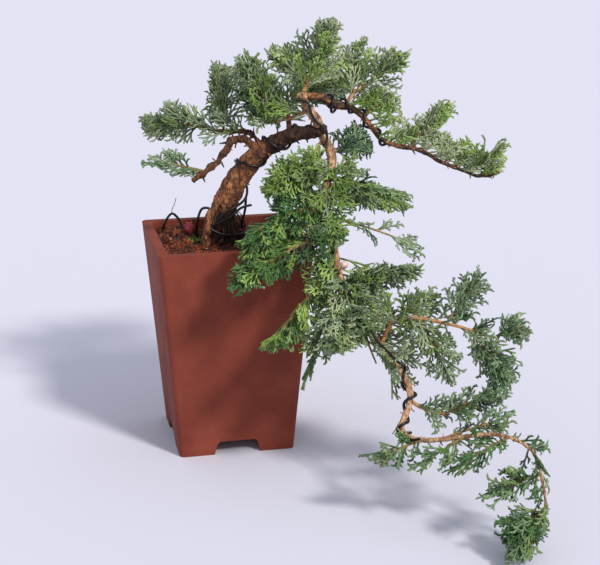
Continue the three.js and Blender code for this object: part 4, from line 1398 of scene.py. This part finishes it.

# %% [markdown]
# ### Growing the masses
#
# Twigs are dealt along each stem, about four times as many as the solid has, and they are uneven
# in reach, so that no pad ends in an even edge. Every twig ends in a fan and bears more fans along
# it, some of them in their mass's inner tint, mostly a darker green: painted shade for a pad's
# shaded inside. The colours are plain and are dealt out fan by fan: each mass has a tint, and each
# tint is a mix of two to four of the nine greens.

# %% Colours dealt by fan
tint_shares = {
    "bright": (("bright", 48), ("fresh", 27), ("mid", 25)),
    "mid": (("mid", 48), ("bright", 24), ("grey", 28)),
    "grey": (("grey", 50), ("pale", 22), ("mid", 28)),
    "dark": (("dark", 60), ("deep", 4), ("grey", 36)),
    "lush": (("lush", 76), ("bright", 20), ("fresh", 4)),
    "sparse": (("dark", 50), ("grey", 50)),
    "sunny": (("fresh", 26), ("bright", 20), ("pale", 42), ("mid", 12)),
    "airy": (("pale", 30), ("mid", 24), ("fresh", 24), ("grey", 22)),
    "olive": (("olive", 55), ("mid", 30), ("bright", 15)),
    "shade": (("deep", 55), ("dark", 45)),
    "tail": (("mid", 36), ("lush", 34), ("dark", 30)),
}
leaf_greens = {
    "fresh": ("#6a883a", "#8aa752", "#aec478", "foliage_bright"),
    "bright": ("#4e6c2c", "#6f8b3a", "#90aa56", "foliage_bright"),
    "mid": ("#475c38", "#698049", "#8ca264", "foliage_mid"),
    "lush": ("#274920", "#3d622e", "#5b8642", "foliage_bright"),
    "grey": ("#58684e", "#7b8c68", "#9dae8a", "foliage_grey"),
    "pale": ("#74825f", "#9aa67c", "#bbc59e", "foliage_grey"),
    "olive": ("#41502a", "#626f3a", "#858f54", "foliage_mid"),
    "dark": ("#445a3d", "#648057", "#879f76", "foliage_dark"),
    "deep": ("#293f2e", "#3e573d", "#597353", "foliage_dark"),
}
dealt = {green: [] for green in leaf_greens}
twigs = []


# %% Placing fans and twigs
def way_of(heading, flat):
    """The turn that lays a fan along a heading with its face towards flat."""
    across = unit(np.cross(heading, flat))
    return np.stack([across, heading, np.cross(across, heading)], axis=1)


feather_chance = {"dark": 1, "tail": 1, "sparse": 1, "sunny": 0.8, "airy": 0.75, "bright": 0.1,
                  "lush": 0.1, "shade": 0.3}
usual_feather_chance, least_kept, ragged = 0.5, 0.45, 1.3


def place_fan(tint, test, foot, heading, flat, largest, dice):
    """Places the largest fan whose axis passes the test, without the cords that fail it.

    Each cord is tested a little beyond its end, by chance, so that no edge looks clipped.
    """
    turn = way_of(heading, flat)
    is_feather = dice.random() < feather_chance.get(tint, usual_feather_chance)
    for size in [s for s in fan_sizes if s <= largest]:
        fan = dice.choice(fans["feather" if is_feather else "hand", size])
        further = np.array([[dice.random() * ragged] for _ in fan["parents"]])
        ends = fan["ends"] + (fan["ends"] - fan["bends"]) * further
        spots = np.concatenate([ends, fan["bends"]]) @ turn.T + foot
        kept = test(spots).reshape(2, -1).all(axis=0)
        for cord, parent in enumerate(fan["parents"]):
            kept[cord] &= parent < 0 or kept[parent]
        if kept[0] and kept.mean() > least_kept:
            corner_kept = kept[fan["corner_cord"]]
            new_number = np.cumsum(corner_kept) - 1
            corners = fan["corners"][corner_kept] @ turn.T + foot
            greens, shares = zip(*tint_shares[tint])
            dealt[dice.choices(greens, shares)[0]].append(
                (corners, new_number[fan["faces"][kept[fan["face_cord"]]]]))
            return True
    return False


# %% One twig
def add_twig(places, radii, sides):
    """A round twig through some places, tapering from its first radius to its last."""
    rings = len(places)
    corners = []
    for i, (across, up) in enumerate(frames_along(places)):
        radius = radii[0] + (radii[1] - radii[0]) * i / (rings - 1)
        corners += [places[i] + swung(across, up, 2 * math.pi * k / sides) * radius
                    for k in range(sides)]
    last_ring = (rings - 1) * sides
    faces = tube_faces(rings, sides)
    faces += [(0, k + 1, k) for k in range(1, sides - 1)]
    faces += [(last_ring, last_ring + k, last_ring + k + 1) for k in range(1, sides - 1)]
    twigs.append((np.array(corners), np.array(faces)))


# %% Growing one mass
# Inner tints are painted shade: a share of the side fans along a twig take a mostly darker green
# for a pad's shaded inside.
inner_shade_tints = {"sunny": "airy", "airy": "grey", "bright": "lush", "grey": "dark",
               "dark": "grey"}
widest_twig, narrowest_twig = 60, 18                        # degrees off the stem
high_lift, low_lift, high_from = 0.3, 0.0, 235
twig_lengths, foot_length, length_lost = (0.05, 0.35), 1.1, 0.5
twig_radii, twig_sides, twig_bow, twig_past_end = (0.95, 0.7), 5, 0.06, 1.5
largest_share, along_share, reach_parts = 2.0, 0.8, (0.8, 1.0)
side_fan_gap, inner_shade_share = 6.0, 0.3
back_from = 20         # millimetres back from the pot's middle, where foliage starts to face back


def facing(place, lean, rise):
    """The direction that a fan's face looks in: forwards, or backwards behind the pot."""
    return np.array((lean, -1.0 if place[1] < back_from else 1.0, rise))


def grow_twig(mass, share, roll, dice):
    """A twig with a fan at its end and fans along it; False if its end fan fits nowhere."""
    foot = stem_place(mass, share)
    ahead = unit(stem_place(mass, min(1, share + 0.03)) - stem_place(mass, share - 0.03))
    spread = math.radians(widest_twig + (narrowest_twig - widest_twig) * share)
    side = swung(*frames_along([foot, foot + ahead])[0], roll)
    heading = ahead * math.cos(spread) + side * math.sin(spread)
    heading = unit(heading + np.array((0, 0, high_lift if foot[2] > high_from else low_lift)))
    length = mass["reach"] * dice.uniform(*twig_lengths) * (foot_length - length_lost * share)
    end = foot + heading * length
    face = facing(foot, dice.uniform(-0.5, 0.5), 0.6)
    flat = unit(np.cross(heading, ahead) * dice.choice((-1, 1)) * dice.uniform(0, 1.2) + face)
    largest = max(fan_sizes[-1], mass["reach"] * largest_share)
    part = dice.uniform(*reach_parts)
    test = lambda spots: fits(mass, spots, part)
    if not place_fan(mass["tint"], test, end, heading, flat, largest, dice):
        return False
    middle = (foot + end) / 2 + ahead * length * twig_bow
    add_twig([foot, middle, end + heading * twig_past_end], twig_radii, twig_sides)
    sideways = unit(np.cross(heading, flat))
    fans_along = 1 + int(length / side_fan_gap)
    for i in range(fans_along):
        hand = 1 if i % 2 else -1
        branch = unit(heading + sideways * hand * dice.uniform(0.4, 0.8))
        tilt = unit(flat + np.cross(heading, flat) * dice.uniform(-0.5, 0.5))
        spot = foot + (end - foot) * (i + dice.uniform(0.3, 0.9)) / fans_along
        # Painted shade: some side fans get their mass's inner tint.
        inner = inner_shade_tints.get(mass["tint"], "shade")
        tint = inner if dice.random() < inner_shade_share else mass["tint"]
        place_fan(tint, test, spot, branch, tilt, largest * along_share, dice)
    return True


# %% Growing every mass
# Openness says how many more or fewer twigs a tint's masses have, against the usual density.
openness = {"tail": 0.95, "bright": 0.85, "lush": 0.9, "sunny": 0.85, "grey": 1.15, "mid": 1.15,
            "airy": 1.3, "dark": 1.1, "sparse": 0.4, "shade": 1.6}
density, attempts, first_twig = 3.8, 6, 0.05
stem_radius, stem_tip_radius, limb_part, stem_sides = 1.25, 0.7, 0.72, 6
stem_share, thin_stem_share, thin_reach = 0.85, 0.6, 13
tip_fan_spread = 0.45
for index, mass in enumerate(masses):
    dice = random.Random(1000 + index)
    last = stem_share if mass["reach"] > thin_reach else thin_stem_share
    stem = [stem_place(mass, share) for share in np.linspace(0, last, 9)]
    base = min(stem_radius, limb_radius(mass["limb"], mass["step"]) * limb_part)
    add_twig(stem, (base, stem_tip_radius), stem_sides)
    count = round(mass["twigs"] * density * openness.get(mass["tint"], 1))
    for i in range(count):
        share = first_twig + (last - first_twig) * (i + 0.5) / count
        for attempt in range(attempts):
            roll = golden_angle * i + 2 * math.pi * attempt / attempts + dice.random() * 0.5
            if grow_twig(mass, share, roll, dice):
                break
    ahead = unit(stem_place(mass, 1) - stem[-1])
    across, up = frames_along(stem[-2:])[0]
    for hand in (0, 1, -1):
        heading = unit(ahead + across * hand * tip_fan_spread)
        place_fan(mass["tint"], lambda spots: fits(mass, spots), stem[-1] - ahead, heading, up,
                  fan_sizes[0], dice)


# %% [markdown]
# ### Shoots on the limbs
#
# Between the masses, short leafy shoots stand on the limbs themselves, and hide much of the upper
# hanging limb. Each row gives a limb, the steps it is leafy between, the gap between shoots, the
# largest fan, and how far down a shoot may point.

# %% Limb shoots
leafy_limbs = [
    ("cascade", 1.3, 4.6, 2.8, 25, -1.0), ("cascade", 4.6, 7.2, 1.7, 31, -1.0),
    ("right", 2.6, 11.0, 2.4, 25, 0.1), ("left", 1.6, 4.0, 3.2, 25, -0.1),
    ("crest", 0.4, 3.0, 2.2, 25, 0.0), ("upper_right", 0.2, 2.0, 2.6, 25, -0.2),
    ("crown", 0.1, 2.0, 1.7, 31, -0.2), ("far_right", 2.6, 5.0, 5.0, 20, -1.0),
    ("far_right", 0.2, 1.9, 2.2, 25, -0.5), ("lower_right", 0.3, 1.8, 2.4, 20, -0.6),
    ("cascade", 12.2, 14.4, 8.0, 15, -1.0), ("cascade", 14.4, 16.0, 3.2, 20, -1.0),
    ("back", 0.8, 3.0, 4.0, 25, -0.6),
]
shoot_length, shoot_lean, shoot_lift, shoot_attempts = (0.5, 2.4), (0.3, 1.5), 0.1, 6
shoot_radii, shoot_past_end, shoot_room = (0.9, 0.7), 1.2, 50


def shoots_between(limb, first, last, gap):
    """How many shoots stand on a limb between two steps."""
    return int(limb_lengths[limb] * (last - first) / (len(limbs[limb][0]) - 1) / gap)


def limb_course(limb, step):
    """A place on a limb, and the direction the limb runs in there."""
    return limb_place(limb, step), unit(limb_place(limb, step + 0.05)
                                        - limb_place(limb, step - 0.05))


def tint_near(limb, step):
    """The tint of the mass that leaves a limb nearest to a step."""
    own = [mass for mass in masses if mass["limb"] == limb]
    return min(own, key=lambda mass: abs(mass["step"] - step))["tint"]


def grow_shoot(limb, place, end, heading, flat, tint, largest, dice):
    """A shoot on a limb: a fan and the twig that carries it; False if no fan fits."""
    near = np.linalg.norm(wood_places - place, axis=1) < shoot_room
    wood = wood_places[near], wood_radii[near]
    clear = lambda spots: is_clear(wood, spots) & is_unseen("shoot", limb, spots)
    if not place_fan(tint, clear, end, heading, flat, largest, dice):
        return False
    add_twig([place, (place + end) / 2, end + heading * shoot_past_end], shoot_radii, twig_sides)
    return True

# %% Growing the limb shoots
for index, (limb, first, last, gap, largest, least_lift) in enumerate(leafy_limbs):
    dice = random.Random(2000 + index)
    count = shoots_between(limb, first, last, gap)
    for i in range(count):
        step = first + (last - first) * (i + dice.random()) / count
        place, ahead = limb_course(limb, step)
        across, up = frames_along([place, place + ahead])[0]
        for attempt in range(shoot_attempts):
            side = swung(across, up, golden_angle * i + 2 * math.pi * attempt / shoot_attempts)
            lean = ahead * dice.uniform(*shoot_lean)
            heading = unit(side + lean + np.array((0, 0, shoot_lift)))
            if heading[2] < least_lift:
                continue
            end = place + heading * (limb_radius(limb, step) + dice.uniform(*shoot_length))
            flat = facing(place, dice.uniform(-0.6, 0.6), dice.uniform(0, 0.8))
            if grow_shoot(limb, place, end, heading, flat, tint_near(limb, step), largest, dice):
                break

# %% Shoots that cover the hanging limb
# In the picture the limb's upper half hardly shows behind the shoots in front of it.
cover_first, cover_last, cover_gap, cover_largest = 1.6, 7.0, 2.3, 25
cover_length, cover_leans, cover_tints = (1.2, 4.5), (1.2, 0.7, 0.3, -0.6), ("olive", "mid")
dice = random.Random(3000)
for i in range(shoots_between("cascade", cover_first, cover_last, cover_gap)):
    step = dice.uniform(cover_first, cover_last)
    place, ahead = limb_course("cascade", step)
    toward = unit(np.array(camera_place) - place)
    front = unit(toward - ahead * toward.dot(ahead))
    sideways = np.cross(ahead, front)
    end = place + front * (limb_radius("cascade", step) + dice.uniform(*cover_length))
    heading = unit(ahead * dice.choice(cover_leans) + sideways * dice.uniform(-1, 1)
                   + front * dice.uniform(0.1, 0.5))
    flat = front + sideways * dice.uniform(-0.4, 0.4)
    grow_shoot("cascade", place, end, heading, flat, dice.choice(cover_tints), cover_largest,
               dice)
print("fans placed:", {green: len(placed_fans) for green, placed_fans in dealt.items()})
print("fan triangles:", sum(len(faces) for group in dealt.values() for _, faces in group))


# %% [markdown]
# ### Joining
#
# Tens of thousands of cords as separate objects would choke any program, so they are joined by
# colour, and a piece is closed before it reaches 200,000 triangles.

# %% Leaf and twig pieces
most_triangles = 180000


def in_metres(copies):
    shift = np.array(pot_middle)
    return [(corners / 1000 + shift, faces) for corners, faces in copies]


for green, copies in dealt.items():
    *colours, slot = leaf_greens[green]
    leaf = make_finish(f"leaf_{green}", colours, 45, 1.8, (1100, 700, 0.3), 0.00025, 0.55)
    parts, load = [[]], 0
    for copy in in_metres(copies):
        if load + len(copy[1]) > most_triangles:
            parts.append([])
            load = 0
        parts[-1].append(copy)
        load += len(copy[1])
    for number, part in enumerate(parts, 1):
        if part:
            finish_piece(joined_piece(f"leaves_{green}_{number}", part), leaf, slot)
twig_finish = make_finish("green_brown_twigs", ("#5c4a2a", "#86703f", "#a58f55"), 160, 2.0,
                          (900, 500, 0.3), 0.0003, 0.7)
twig_piece = joined_piece("twigs", in_metres(twigs))
make_active(twig_piece)
bpy.ops.object.shade_smooth()
finish_piece(twig_piece, twig_finish, "bark_twig", *[mass["name"] for mass in masses])

# %% [markdown]
# ## Berry
#
# One pale, pinkish berry cone hangs on a short stalk in front of the hanging limb. It is a small
# ball, pushed in and out a little by noise, which gives it the low seams of its fused scales.

# %% Berry
berry_radius, berry_seam, berry_relief, stalk_radius, stalk_sag = 3.2, 3, 0.7, 0.6, 1
start_clean()
berry_place = np.array(seen_at(344, 265, -111))
stalk_foot = min((limb_place("cascade", step) for step in np.linspace(3, 6, 31)),
                 key=lambda place: np.linalg.norm(place - berry_place))
bpy.ops.mesh.primitive_uv_sphere_add(segments=24, ring_count=16, radius=mm(berry_radius),
                                     location=at(*berry_place))
berry = settle(bpy.context.object, "berry")
rough_up(berry, "CLOUDS", berry_seam, berry_relief)
bpy.ops.object.shade_smooth()
berry_finish = make_finish("pale_berry", ("#a9786a", "#cfa596", "#e6cdbd"), 300, 1.6,
                           (900, 400, 0.2), 0.0002, 0.5)
finish_piece(berry, berry_finish, "bark_twig")
middle = (stalk_foot + berry_place) / 2 + np.array((0, 0, stalk_sag))
stalk = smooth_line([stalk_foot, middle, berry_place])
finish_piece(bent_bar("berry_stalk", stalk, stalk_radius, 1), young_finish, "bark_twig")
print("berry", round(float(np.linalg.norm(stalk_foot - berry_place)), 1), "mm from the limb")

# %% Sizes
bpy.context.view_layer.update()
for axis in range(3):
    side = solid_box[1][axis] - solid_box[0][axis]
